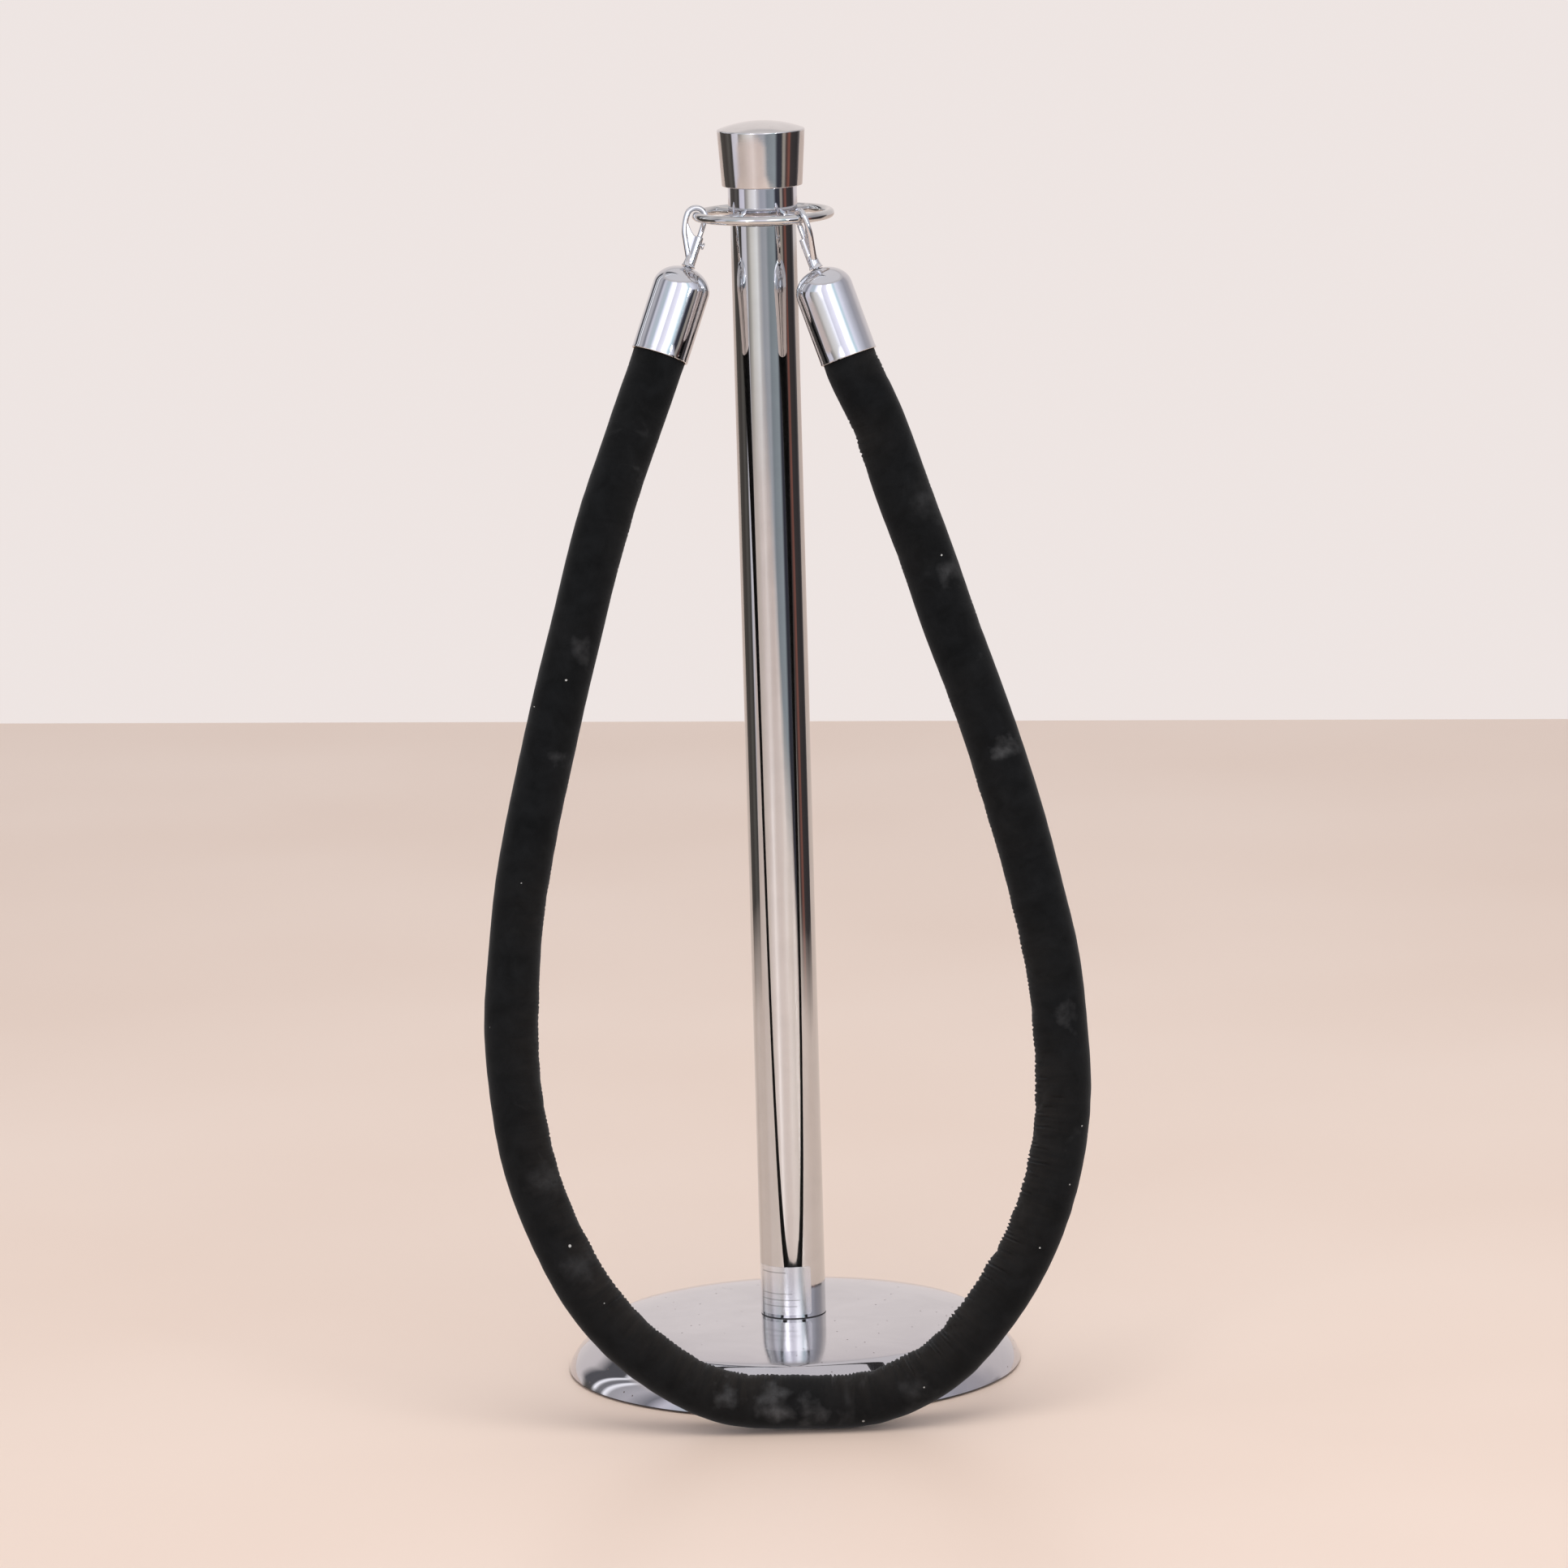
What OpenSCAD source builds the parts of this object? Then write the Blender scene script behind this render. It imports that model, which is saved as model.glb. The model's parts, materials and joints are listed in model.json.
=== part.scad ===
// Rope barrier post: a chromed post on a domed weighted base, a swivelling carry ring
// under a flared crown, and a velvet rope hooked to the ring by its two bolt snaps.
// Frame: origin at the centre of the base's underside, +Z up, the rope hangs on the -Y side.

/* [Base] */
// Diameter of the domed base cover
base_d = 355.6; // [300:0.1:400]
// Height of the base cover at the post
base_h = 41.5; // [36:0.5:50]
// Height of the shoulder at the edge of the dome
shoulder_z = 34.5; // [31:0.5:37]
// Width of the skirt outside the shoulder
edge_w = 27.8; // [24:0.1:31]
// Slope of the skirt below the shoulder, in degrees
edge_slope = 43.5; // [40:0.5:46]
// Slope of the skirt at the rim, in degrees
rim_slope = 72; // [66:1:80]
// Thickness of the spun base cover
cover_t = 2; // [1.5:0.1:2.5]
// Diameter of the cast weight
weight_d = 280; // [200:5:300]

/* [Post] */
// Outer diameter of the post tube
tube_d = 50.8; // [45:0.1:55]
// Wall of the post tube
tube_t = 1.5; // [1:0.1:2]
// Height of the post tube's top end
tube_top = 903.5; // [900:0.5:904]
// Thickness of the gasket under the post
gasket_t = 0.5; // [0.3:0.1:1]
// Lowest edge of the foil label
label_z = 44.5; // [43.5:0.5:60]
// Height of the foil label
label_h = 38.5; // [20:0.5:50]
// Angle that the foil label wraps round the post
label_wrap = 113; // [60:1:150]
// Direction of the label's right end, from the front towards +X
label_end = 33; // [0:1:60]

/* [Crown] */
// Height of the crown above the post tube's top end
crown_z = 29.4; // [28:0.1:31]
// Diameter of the crown's lower end
crown_d1 = 62; // [56:0.5:66]
// Diameter of the crown's rim
crown_d2 = 68; // [62:0.5:74]
// Height of the crown's side up to its rim
crown_h = 43.3; // [42:0.1:50]
// Rise of the crown's domed top
crown_rise = 6.4; // [4:0.1:10]
// Thickness of the crown's shell
crown_t = 2; // [1.5:0.1:3]

/* [Carry ring] */
// Outer diameter of the carry ring
ring_d = 110; // [108:1:120]
// Diameter of the ring's wire
wire_d = 7.1; // [6:0.1:7.2]
// Height of the ring's middle above the floor
ring_z = 910.5; // [908:0.5:916]
// Outer diameter of the swivelling collar
collar_d = 53.5; // [52:0.1:56]
// Diameter of the four spokes
spoke_d = 6; // [4:0.5:7]

/* [Rope] */
// Diameter of the velvet sleeve
rope_d = 42; // [41:0.5:42]
// Diameter of the filler core
core_d = 38; // [34:0.5:40]
// Diameter of the end caps
cap_d = 44.5; // [43.5:0.1:46]
// Length of the end caps
cap_h = 72; // [65:1:80]
// Height of the domed part of an end cap
cap_dome = 18; // [14:0.5:24]
// Wall of the end caps
cap_t = 1.2; // [1:0.1:1.5]

/* [Bolt snaps] */
// Diameter of the hook's bar
bar_d = 4.6; // [4:0.1:4.8]
// Radius of the hook's arch, at the middle of the bar
arch_r = 7.2; // [6.8:0.1:7.6]
// Height of the arch's centre above the end cap
arch_z = 39; // [38:0.1:42]
// Distance of the arch's centre from the end cap's axis
arch_x = 6; // [5:0.1:7]
// Thickness of the barrel, across its flats
barrel_d = 7; // [6.6:0.1:7.4]
// Width of the barrel
barrel_w = 9.2; // [8:0.1:10]
// Height of the barrel's mouth above the end cap
barrel_top = 25; // [24:0.5:27]
// Diameter of the bolt's tip
bolt_d = 4.2; // [3.8:0.1:4.4]
// How far the bolt pulls back
travel = 7.4; // [6:0.1:7.4]

/* [Hidden] */
$fn = 96;
eps = 0.01;
fit = 0.05;                 // radial clearance of a thread or a running fit

base_r = base_d / 2;
tube_r = tube_d / 2;
bore_r = tube_r - tube_t;
shoulder_r = base_r - edge_w;
seat_r = tube_r + 2;        // flat seat under the post
tube_z = base_h + gasket_t;
rim_low = 2;                // gap between the cover's rim and the floor
plate_z = 4;                // thickness of the floor ring under the plate
plate_t = 2;
plate_r = base_r - 8;
weight_z = plate_z + plate_t;
weight_h = 18;
boss_r = 30;                // boss of the weight, under the post
bolt_r = 6;                 // M12 bolt and stud
hole_r = 6.6;
head_z = 5.5;               // underside of the base bolt's head
head_h = 7.5;
head_af = 19;
washer_r = 12;
lock_t = 2.5;
washer_t = 2.5;
pocket_r = 15;              // pocket for the bolt's head in the weight
insert_h = 30;
bush_t = 1.5;
neck_r = 22;                // turned neck that the collar swivels on
neck_top = tube_top + crown_z - 0.3;
crown_base = tube_top + crown_z;
rim_z = crown_base + crown_h;
bush_r = tube_r - 0.4;
flange_t = 0.8;             // flange of the upper bush, let into the collar
collar_z0 = tube_top + bush_t + 0.3;
collar_z1 = crown_base - 0.4;
ring_r = (ring_d - wire_d) / 2;
stud_r = 2.5;               // M5 swivel stud in each end cap
stud_head_r = 3.9;
neck_h = 8;                 // cup at the foot of a bolt snap
cup_r = 5.2;
chamber_z = 7;              // floor of the barrel's spring chamber
chamber_r = barrel_d / 2 - 1;
piston_z = 17.5;              // underside of the bolt's piston when shut
bolt_x = arch_r - arch_x;   // the bolt and the hook's nose share one line
knob_z = 19;
knob_r = 2.8;
nose_drop = 2.2;            // straight end of the hook below its arch

// Each end hangs from the ring by its hook, in the order left, right:
// where on the ring, from the front towards +X; which way the end cap leans; the hook's turn
hang_at = [-87, 34];
lean = [[19, 13, 52], [-18, 9, 53]];
snap_turn = [-34, -40];
play = 0.7;                 // the ring's wire sits this far above the centre of the hook's arch

// Middle line of the rope between its two end caps, from left to right
rope_run = [
  [-105, -42, 750], [-124, -55, 700], [-140, -67, 650], [-154, -78, 600], [-168, -90, 550],
  [-181, -102, 500], [-193, -114, 450], [-203, -125, 400], [-209, -137, 350], [-212, -149, 300],
  [-209, -161, 250], [-200, -172, 200], [-182, -184, 150], [-154, -196, 100], [-116, -206, 60],
  [-60, -212, 28], [0, -214, 22], [60, -213, 25], [110, -207, 47], [150, -197, 88],
  [180, -185, 135], [200, -173, 188], [209, -160, 245], [208, -149, 300], [203, -138, 350],
  [193, -127, 400], [181, -116, 450], [167, -106, 500], [151, -96, 550], [134, -87, 600],
  [118, -78, 650], [101, -70, 700], [83, -62, 755]
];
sides = 12;
heading = [for (v = lean) unit(v)];
cap_top = [for (s = [0, 1]) ring_point(hang_at[s]) - turned(s, [-arch_x, 0, arch_z + play])];
mouth = [for (s = [0, 1]) cap_top[s] - cap_h * heading[s]];
route = concat([mouth[0]], rope_run, [mouth[1]]);
last = len(route) - 1;

function unit(v) = v / norm(v);
function ring_point(a) = [ring_r * sin(a), -ring_r * cos(a), ring_z];
// A point of a bolt snap, from its own axes to the frame's
function turned(s, p) =
  let (
    h = heading[s], t = snap_turn[s], low = acos(h[2]), round = atan2(h[1], h[0]),
    q = [p[0] * cos(t) - p[1] * sin(t), p[0] * sin(t) + p[1] * cos(t), p[2]],
    r = [q[0] * cos(low) + q[2] * sin(low), q[1], q[2] * cos(low) - q[0] * sin(low)]
  )
  [r[0] * cos(round) - r[1] * sin(round), r[0] * sin(round) + r[1] * cos(round), r[2]];
// Direction of the rope at point i, square to the end caps at both ends
function tangent(i) =
  i == 0 ? -heading[0] : i == last ? heading[1] : unit(route[i + 1] - route[i - 1]);
// Sideways and upward directions of the rope's cross-section at point i
function side_dir(i) = unit(cross(tangent(i), [0, 1, 0]));
function up_dir(i) = cross(side_dir(i), tangent(i));
function ring_points(i, r) = [
  for (k = [0 : sides - 1])
    let (a = 360 * k / sides)
    route[i] + r * (cos(a) * side_dir(i) + sin(a) * up_dir(i))
];
// Points of an arc about [cx, cy], from angle a0 to a1
function arc(cx, cy, r, a0, a1, n) = [
  for (k = [0 : n]) let (a = a0 + (a1 - a0) * k / n) [cx + r * cos(a), cy + r * sin(a)]
];
// Domed top of the base, nearly flat at the post and steeper towards the shoulder
function dome_z(r, drop) =
  let (t = (r - seat_r) / (shoulder_r - seat_r))
  base_h - drop - (base_h - shoulder_z) * (0.12 * t + 0.88 * pow(t, 5));
// Points along the dome, closer together towards the shoulder
function dome(drop, n) = [
  for (k = [0 : n]) let (r = seat_r + (shoulder_r - seat_r) * sin(90 * k / (n + 1))) [r, dome_z(r, drop)]
];
// Skirt of the base, a cone below the shoulder and then an arc to the rim, inset by t
function skirt(t, n) =
  let (
    drop = shoulder_z - rim_low,
    cs = cos(edge_slope), sn = sin(edge_slope),
    wide = sin(rim_slope) - sn, tall = cs - cos(rim_slope),
    r = (drop * cs - edge_w * sn) / (tall * cs - wide * sn),
    cone = (edge_w - wide * r) / cs,
    cx = shoulder_r + cone * cs - r * sn,
    cy = shoulder_z - cone * sn - r * cs
  )
  concat([[shoulder_r, shoulder_z - t]], arc(cx, cy, r - t, 90 - edge_slope, 90 - rim_slope, n));
// Outline of an end cap's dome, from the axis to the side, inset by t
function cap_outline(t, n) = [
  for (k = [0 : n])
    let (a = 90 * (1 - k / n))
    [(cap_d / 2 - t) * cos(a), -cap_dome + (cap_dome - t) * sin(a)]
];
// Outline of the crown's domed top, lowered by t, out to radius r
function crown_dome(t, r) = [
  for (k = [0 : 6])
    [r * k / 6, rim_z + crown_rise - t - crown_rise * pow(r * k / 6 / (crown_d2 / 2), 2)]
];

// Puts the children at an end cap: z = 0 on the cap's dome, +Z out along its axis
module at_cap(s) {
  h = heading[s];
  translate(cap_top[s])
    rotate([0, acos(h[2]), atan2(h[1], h[0])])
      children();
}

// Puts the children on a bolt snap, turned so that its hook takes the ring
module at_snap(s) {
  at_cap(s) rotate([0, 0, snap_turn[s]]) children();
}

module disc(r, z0, z1, hole) {
  translate([0, 0, z0]) difference() {
    cylinder(r = r, h = z1 - z0);
    translate([0, 0, -eps]) cylinder(r = hole, h = z1 - z0 + 2 * eps);
  }
}

// ---- base ----

module floor_ring() {
  color("#26262a") disc(plate_r, 0, plate_z, plate_r - 14);
}

module base_plate() {
  color("#6d6f73") disc(plate_r, plate_z, plate_z + plate_t, pocket_r);
}

module base_weight() {
  top = weight_z + weight_h;
  pocket_top = head_z + head_h + lock_t + washer_t + 0.1;
  color("#4b4a48") difference() {
    union() {
      translate([0, 0, weight_z]) cylinder(r = weight_d / 2, h = weight_h);
      translate([0, 0, top]) cylinder(r = boss_r, h = dome_z(boss_r, cover_t) - top);
    }
    translate([0, 0, weight_z - eps]) cylinder(r = hole_r, h = base_h);
    translate([0, 0, weight_z - eps]) cylinder(r = pocket_r, h = pocket_top - weight_z + eps);
  }
}

module base_cover() {
  outside = concat([[hole_r, base_h]], dome(0, 9), skirt(0, 8));
  inside = concat([[hole_r, base_h - cover_t]], dome(cover_t, 9), skirt(cover_t, 8));
  back = [for (k = [len(inside) - 1 : -1 : 0]) inside[k]];
  color("#c9ccd1") rotate_extrude($fn = 180) polygon(concat(outside, back));
}

module base_bolt() {
  z = head_z + head_h;
  color("#8b8d90") {
    translate([0, 0, head_z]) cylinder(d = head_af / cos(30), h = head_h, $fn = 6);
    translate([0, 0, z]) cylinder(r = bolt_r, h = tube_z + insert_h - 6 - z);
  }
}

module lock_washer() {
  z = head_z + head_h;
  color("#77797c") disc(10.5, z, z + lock_t, bolt_r + 0.2);
}

module base_washer() {
  z = head_z + head_h + lock_t;
  color("#9a9c9f") disc(washer_r, z, z + washer_t, bolt_r + 0.3);
}

// ---- post ----

module foot_gasket() {
  color("#2b2b2e") disc(tube_r, base_h, tube_z, hole_r);
}

module lower_insert() {
  color("#8b8d90") disc(bore_r, tube_z, tube_z + insert_h, bolt_r + fit);
}

module post_tube() {
  color("#c9ccd1") disc(tube_r, tube_z, tube_top, bore_r);
}

module asset_label() {
  foil_t = 0.15;
  color("#d8dadd")
    translate([0, 0, label_z])
      rotate([0, 0, label_end - 90 - label_wrap])
        rotate_extrude(angle = label_wrap)
          translate([tube_r, 0]) square([foil_t, label_h]);
}

module upper_insert() {
  deep = 35;
  color("#8b8d90") difference() {
    union() {
      translate([0, 0, tube_top - deep]) cylinder(r = bore_r, h = deep);
      translate([0, 0, tube_top - eps]) cylinder(r = neck_r, h = neck_top - tube_top + eps);
    }
    translate([0, 0, tube_top - deep - eps]) cylinder(r = bolt_r + fit, h = deep + neck_top);
  }
}

module crown_stud() {
  color("#8b8d90") translate([0, 0, tube_top - 25]) cylinder(r = bolt_r, h = 25 + crown_z + 14);
}

module crown_hub() {
  color("#8b8d90") disc(crown_d1 / 2 - crown_t - 0.1, crown_base, crown_base + 15, bolt_r + fit);
}

module crown() {
  r = crown_d2 / 2;
  edge = 0.8;
  side = [
    [r, rim_z - edge], [crown_d1 / 2, crown_base + 0.6], [crown_d1 / 2 - 0.6, crown_base],
    [crown_d1 / 2 - crown_t, crown_base], [r - crown_t, rim_z - crown_t]
  ];
  inside = crown_dome(crown_t, r - crown_t - 1);
  back = [for (k = [6 : -1 : 0]) inside[k]];
  color("#c4c7cc") rotate_extrude() polygon(concat(crown_dome(0, r - edge), side, back));
}

// ---- carry ring ----

module lower_bush() {
  color("#1f2023") disc(bush_r, tube_top, tube_top + bush_t, neck_r + fit);
}

module upper_bush() {
  color("#1f2023") disc(bush_r, crown_base - flange_t, crown_base, neck_r + fit);
}

module ring_collar() {
  recess_z = crown_base - flange_t - 0.3;
  color("#c9ccd1") difference() {
    disc(collar_d / 2, collar_z0, collar_z1, neck_r + fit);
    translate([0, 0, recess_z]) cylinder(r = bush_r + 0.35, h = flange_t + 1);
  }
}

module carry_ring() {
  color("#d0d3d8") difference() {
    translate([0, 0, ring_z]) {
      rotate_extrude() translate([ring_r, 0]) circle(d = wire_d, $fn = 32);
      for (a = [45 : 90 : 315])
        rotate([0, 0, a]) rotate([0, 90, 0]) cylinder(d = spoke_d, h = ring_r, $fn = 32);
    }
    translate([0, 0, ring_z - 20]) cylinder(d = collar_d, h = 40);
  }
}

// ---- rope ----

module rope_core() {
  rings = [for (i = [0 : last]) each ring_points(i, core_d / 2)];
  walls = [
    for (i = [0 : last - 1], k = [0 : sides - 1])
      let (n = (k + 1) % sides)
      [i * sides + k, (i + 1) * sides + k, (i + 1) * sides + n, i * sides + n]
  ];
  first_end = [for (k = [0 : sides - 1]) k];
  far_end = [for (k = [sides - 1 : -1 : 0]) last * sides + k];
  color("#8d8272") polyhedron(points = rings, faces = concat(walls, [first_end, far_end]), convexity = 10);
}

module velvet_sleeve() {
  outer = [for (i = [0 : last]) each ring_points(i, rope_d / 2)];
  inner = [for (i = [0 : last]) each ring_points(i, core_d / 2)];
  m = len(outer);
  walls = [
    for (i = [0 : last - 1], k = [0 : sides - 1])
      let (n = (k + 1) % sides, a = i * sides, b = (i + 1) * sides)
      each [[a + k, b + k, b + n, a + n], [m + a + k, m + a + n, m + b + n, m + b + k]]
  ];
  ends = [
    for (k = [0 : sides - 1])
      let (n = (k + 1) % sides, f = last * sides)
      each [[k, n, m + n, m + k], [f + k, m + f + k, m + f + n, f + n]]
  ];
  color("#101214") polyhedron(points = concat(outer, inner), faces = concat(walls, ends), convexity = 10);
}

// ---- rope ends, one set per side ----

module end_cap(s) {
  outside = cap_outline(0, 10);
  inside = [for (k = [10 : -1 : 0]) cap_outline(cap_t, 10)[k]];
  skirt = [[cap_d / 2, -cap_h], [cap_d / 2 - cap_t, -cap_h]];
  color("#c9ccd1") at_cap(s) difference() {
    rotate_extrude() polygon(concat(outside, skirt, inside));
    translate([0, 0, -cap_dome]) cylinder(r = stud_r + fit, h = cap_dome + 1, $fn = 32);
  }
}

module cap_plug(s) {
  plug_h = 47;
  color("#b28a5a") at_cap(s) translate([0, 0, -cap_h])
    cylinder(r = cap_d / 2 - cap_t - 0.2, h = plug_h);
}

module stud_washer(s) {
  color("#9a9c9f") at_cap(s) disc(7, -4, -2.5, stud_r + fit);
}

module stud_nut(s) {
  color("#9a9c9f") at_cap(s) translate([0, 0, -8]) difference() {
    cylinder(d = 8 / cos(30), h = 4, $fn = 6);
    translate([0, 0, -eps]) cylinder(r = stud_r + fit, h = 4 + 2 * eps, $fn = 32);
  }
}

module swivel_stud(s) {
  color("#b9bcc1") at_cap(s) {
    translate([0, 0, -11]) cylinder(r = stud_r, h = 13.6, $fn = 32);
    translate([0, 0, 2.6]) cylinder(r = stud_head_r, h = 2.6, $fn = 48);
  }
}

// Straight round bar between two points of the hook's plane
module bar(x0, z0, x1, z1) {
  run = norm([x1 - x0, z1 - z0]);
  translate([x0, 0, z0])
    rotate([0, atan2(x1 - x0, z1 - z0), 0])
      cylinder(d = bar_d, h = run, $fn = 32);
}

// Round bar bent in the hook's plane about [x, z]
module bent_bar(x, z, r, from, turn) {
  translate([x, 0, z])
    rotate([90, 0, 0])
      rotate([0, 0, from])
        rotate_extrude(angle = turn) translate([r, 0]) circle(d = bar_d, $fn = 32);
}

module snap_hook(s) {
  sweep_r = 40;             // easy bend of the shank below the arch
  sweep = 21.5;
  left_x = -arch_x - arch_r;
  knee_x = left_x + sweep_r * (1 - cos(sweep));
  knee_z = arch_z - sweep_r * sin(sweep);
  nose_z = arch_z - nose_drop;
  slot_z = knob_z - travel - 1.5;
  web_t = 3.6;              // web between the shank and the barrel
  web = [
    [left_x + 1.8, arch_z - 4], [left_x + 4.4, arch_z - 8.5], [left_x + 6.8, arch_z - 11.5],
    [bolt_x - 4.8, barrel_top - 0.1], [bolt_x - 3, barrel_top - 0.8], [bolt_x - 3, 10], [-3.1, 10.4],
    [knee_x + 0.3, knee_z + 0.2]
  ];
  color("#cfd2d7") at_snap(s) difference() {
    union() {
      bent_bar(-arch_x, arch_z, arch_r, 0, 180);
      bent_bar(left_x + sweep_r, arch_z, sweep_r, 180, sweep);
      bar(knee_x, knee_z, -0.6, 5);
      bar(-arch_x + arch_r, nose_z, -arch_x + arch_r, arch_z);
      translate([bolt_x, 0, 3]) intersection() {
        cylinder(d = barrel_w, h = barrel_top - 3, $fn = 48);
        translate([-barrel_d / 2, -barrel_w, -1]) cube([barrel_d, 2 * barrel_w, barrel_top]);
      }
      rotate([90, 0, 0]) translate([0, 0, -web_t / 2]) linear_extrude(web_t) polygon(web);
      translate([0, 0, 0.3]) cylinder(r1 = cup_r + 0.6, r2 = cup_r - 0.8, h = neck_h, $fn = 48);
    }
    cylinder(r = stud_r + fit, h = 3, $fn = 32);
    translate([0, 0, 2.3]) cylinder(r = stud_head_r + 0.2, h = 3.2, $fn = 48);
    translate([bolt_x, 0, chamber_z]) cylinder(r = chamber_r, h = 20, $fn = 48);
    translate([bolt_x, -1.5, slot_z]) cube([barrel_d, 3, barrel_top - slot_z + 1]);
  }
}

module snap_bolt(s) {
  color("#d5d8dc") at_snap(s) translate([bolt_x, 0, 0]) {
    translate([0, 0, piston_z]) cylinder(r = chamber_r - fit, h = barrel_top - piston_z - 0.5, $fn = 48);
    translate([0, 0, piston_z]) cylinder(d = bolt_d, h = arch_z - nose_drop - 0.3 - piston_z, $fn = 32);
    translate([0, 0, knob_z]) rotate([0, 90, 0]) cylinder(r = 1.3, h = barrel_d / 2 + 1.4, $fn = 32);
    translate([barrel_d / 2 + 0.4, 0, knob_z]) rotate([0, 90, 0]) cylinder(r = knob_r, h = 2, $fn = 48);
  }
}

module snap_spring(s) {
  coil_r = chamber_r - 0.55;
  coil_wire = 0.5;
  turns = 6;
  steps = 12;
  low = chamber_z + coil_wire / 2 + 0.05;
  high = piston_z - coil_wire / 2 - 0.05;
  n = turns * steps;
  loop = [
    for (i = [0 : n], k = [0 : 5])
      let (a = 360 * i / steps, b = 60 * k, r = coil_r + coil_wire / 2 * cos(b))
      [r * cos(a), r * sin(a), low + (high - low) * i / n + coil_wire / 2 * sin(b)]
  ];
  skin = [
    for (i = [0 : n - 1], k = [0 : 5])
      let (a = i * 6 + k, b = i * 6 + (k + 1) % 6)
      [a, b, b + 6, a + 6]
  ];
  ends = [[for (k = [5 : -1 : 0]) k], [for (k = [0 : 5]) n * 6 + k]];
  color("#9fa3a8") at_snap(s) translate([bolt_x, 0, 0])
    polyhedron(points = loop, faces = concat(skin, ends), convexity = 10);
}

floor_ring();
base_plate();
base_weight();
base_cover();
base_bolt();
lock_washer();
base_washer();
foot_gasket();
lower_insert();
post_tube();
asset_label();
upper_insert();
crown_stud();
crown_hub();
crown();
lower_bush();
upper_bush();
ring_collar();
carry_ring();
rope_core();
velvet_sleeve();
end_cap(0);  // left_end_cap
cap_plug(0);  // left_cap_plug
swivel_stud(0);  // left_swivel_stud
stud_washer(0);  // left_stud_washer
stud_nut(0);  // left_stud_nut
snap_hook(0);  // left_snap_hook
snap_bolt(0);  // left_snap_bolt
snap_spring(0);  // left_snap_spring
end_cap(1);  // right_end_cap
cap_plug(1);  // right_cap_plug
swivel_stud(1);  // right_swivel_stud
stud_washer(1);  // right_stud_washer
stud_nut(1);  // right_stud_nut
snap_hook(1);  // right_snap_hook
snap_bolt(1);  // right_snap_bolt
snap_spring(1);  // right_snap_spring
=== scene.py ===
"""Looks of the rope barrier post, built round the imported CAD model."""
import json
import math

import bmesh
import bpy
import numpy as np
from mathutils import Matrix, Vector


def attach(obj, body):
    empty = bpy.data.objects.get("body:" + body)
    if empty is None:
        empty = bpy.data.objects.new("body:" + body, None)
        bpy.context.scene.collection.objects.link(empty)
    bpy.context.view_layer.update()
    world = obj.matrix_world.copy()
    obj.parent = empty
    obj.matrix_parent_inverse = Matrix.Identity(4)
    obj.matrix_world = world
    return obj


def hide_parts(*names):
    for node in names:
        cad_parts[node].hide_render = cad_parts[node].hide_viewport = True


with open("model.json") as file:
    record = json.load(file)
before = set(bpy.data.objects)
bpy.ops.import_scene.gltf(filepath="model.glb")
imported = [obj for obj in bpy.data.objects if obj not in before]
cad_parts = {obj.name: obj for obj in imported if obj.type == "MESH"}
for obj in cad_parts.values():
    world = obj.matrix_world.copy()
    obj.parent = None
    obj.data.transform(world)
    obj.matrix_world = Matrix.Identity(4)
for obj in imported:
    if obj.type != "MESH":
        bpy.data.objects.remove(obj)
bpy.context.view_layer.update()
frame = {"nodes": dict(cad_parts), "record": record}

MM = 0.001
PICTURE = 1932              # the picture's width in pixels, the unit of the camera's focal length

# ---- sizes shared with the CAD source, in millimetres ----
TUBE_R, BORE_R, TUBE_Z, TUBE_TOP = 25.4, 23.9, 42, 903.5
BASE_H, SHOULDER_Z, BASE_R, EDGE_W, SEAT_R, COVER_T = 41.5, 34.5, 177.8, 27.8, 27.4, 2
EDGE_SLOPE, RIM_SLOPE, RIM_LOW = 43.5, 72, 2
CROWN_Z, RIM_Z, CROWN_TOP, CROWN_R1, CROWN_R2, CROWN_T = 932.9, 976.2, 982.6, 31, 34, 2
RING_Z, RING_R, WIRE_R, SPOKE_R = 910.5, 51.45, 3.55, 3
COLLAR_LOW, COLLAR_TOP, COLLAR_R, NECK_R = 905.3, 932.5, 26.75, 22.05
ROPE_R, CAP_R, CAP_H, CAP_DOME, CAP_T = 21, 22.25, 72, 18, 1.2
ARCH_R, ARCH_Z, ARCH_X, BAR_R = 7.2, 39.0, 6, 2.3
BARREL_R, BARREL_W, BARREL_TOP, CHAMBER_R, CHAMBER_Z = 3.5, 4.6, 25, 2.5, 7
BOLT_R, BOLT_X, PISTON_Z, KNOB_Z, KNOB_R, NOSE_Z = 2.1, 1.2, 17.5, 19, 2.8, 36.8
CHAMBER_TOP, SLOT_LOW, SLOT_WIDE = 29, 10.1, 1.5
STUD_R, STUD_HEAD_R, STUD_SEAT, STUD_TOP = 2.55, 4.1, 2.3, 5.5
LABEL_Z, LABEL_H, LABEL_FROM, LABEL_TO = 44.5, 38.5, -80, 33
SIDES = ("left", "right")
# The way each end cap points, the turn of its hook about that in degrees, where the hook hangs on
# the ring in degrees from the front, and the gap between hook and ring
HEADING = {"left": (19, 13, 52), "right": (-18, 9, 53)}
SNAP_TURN = {"left": -34, "right": -40}
HANG_AT = {"left": -87, "right": 34}
PLAY = 0.7
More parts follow.
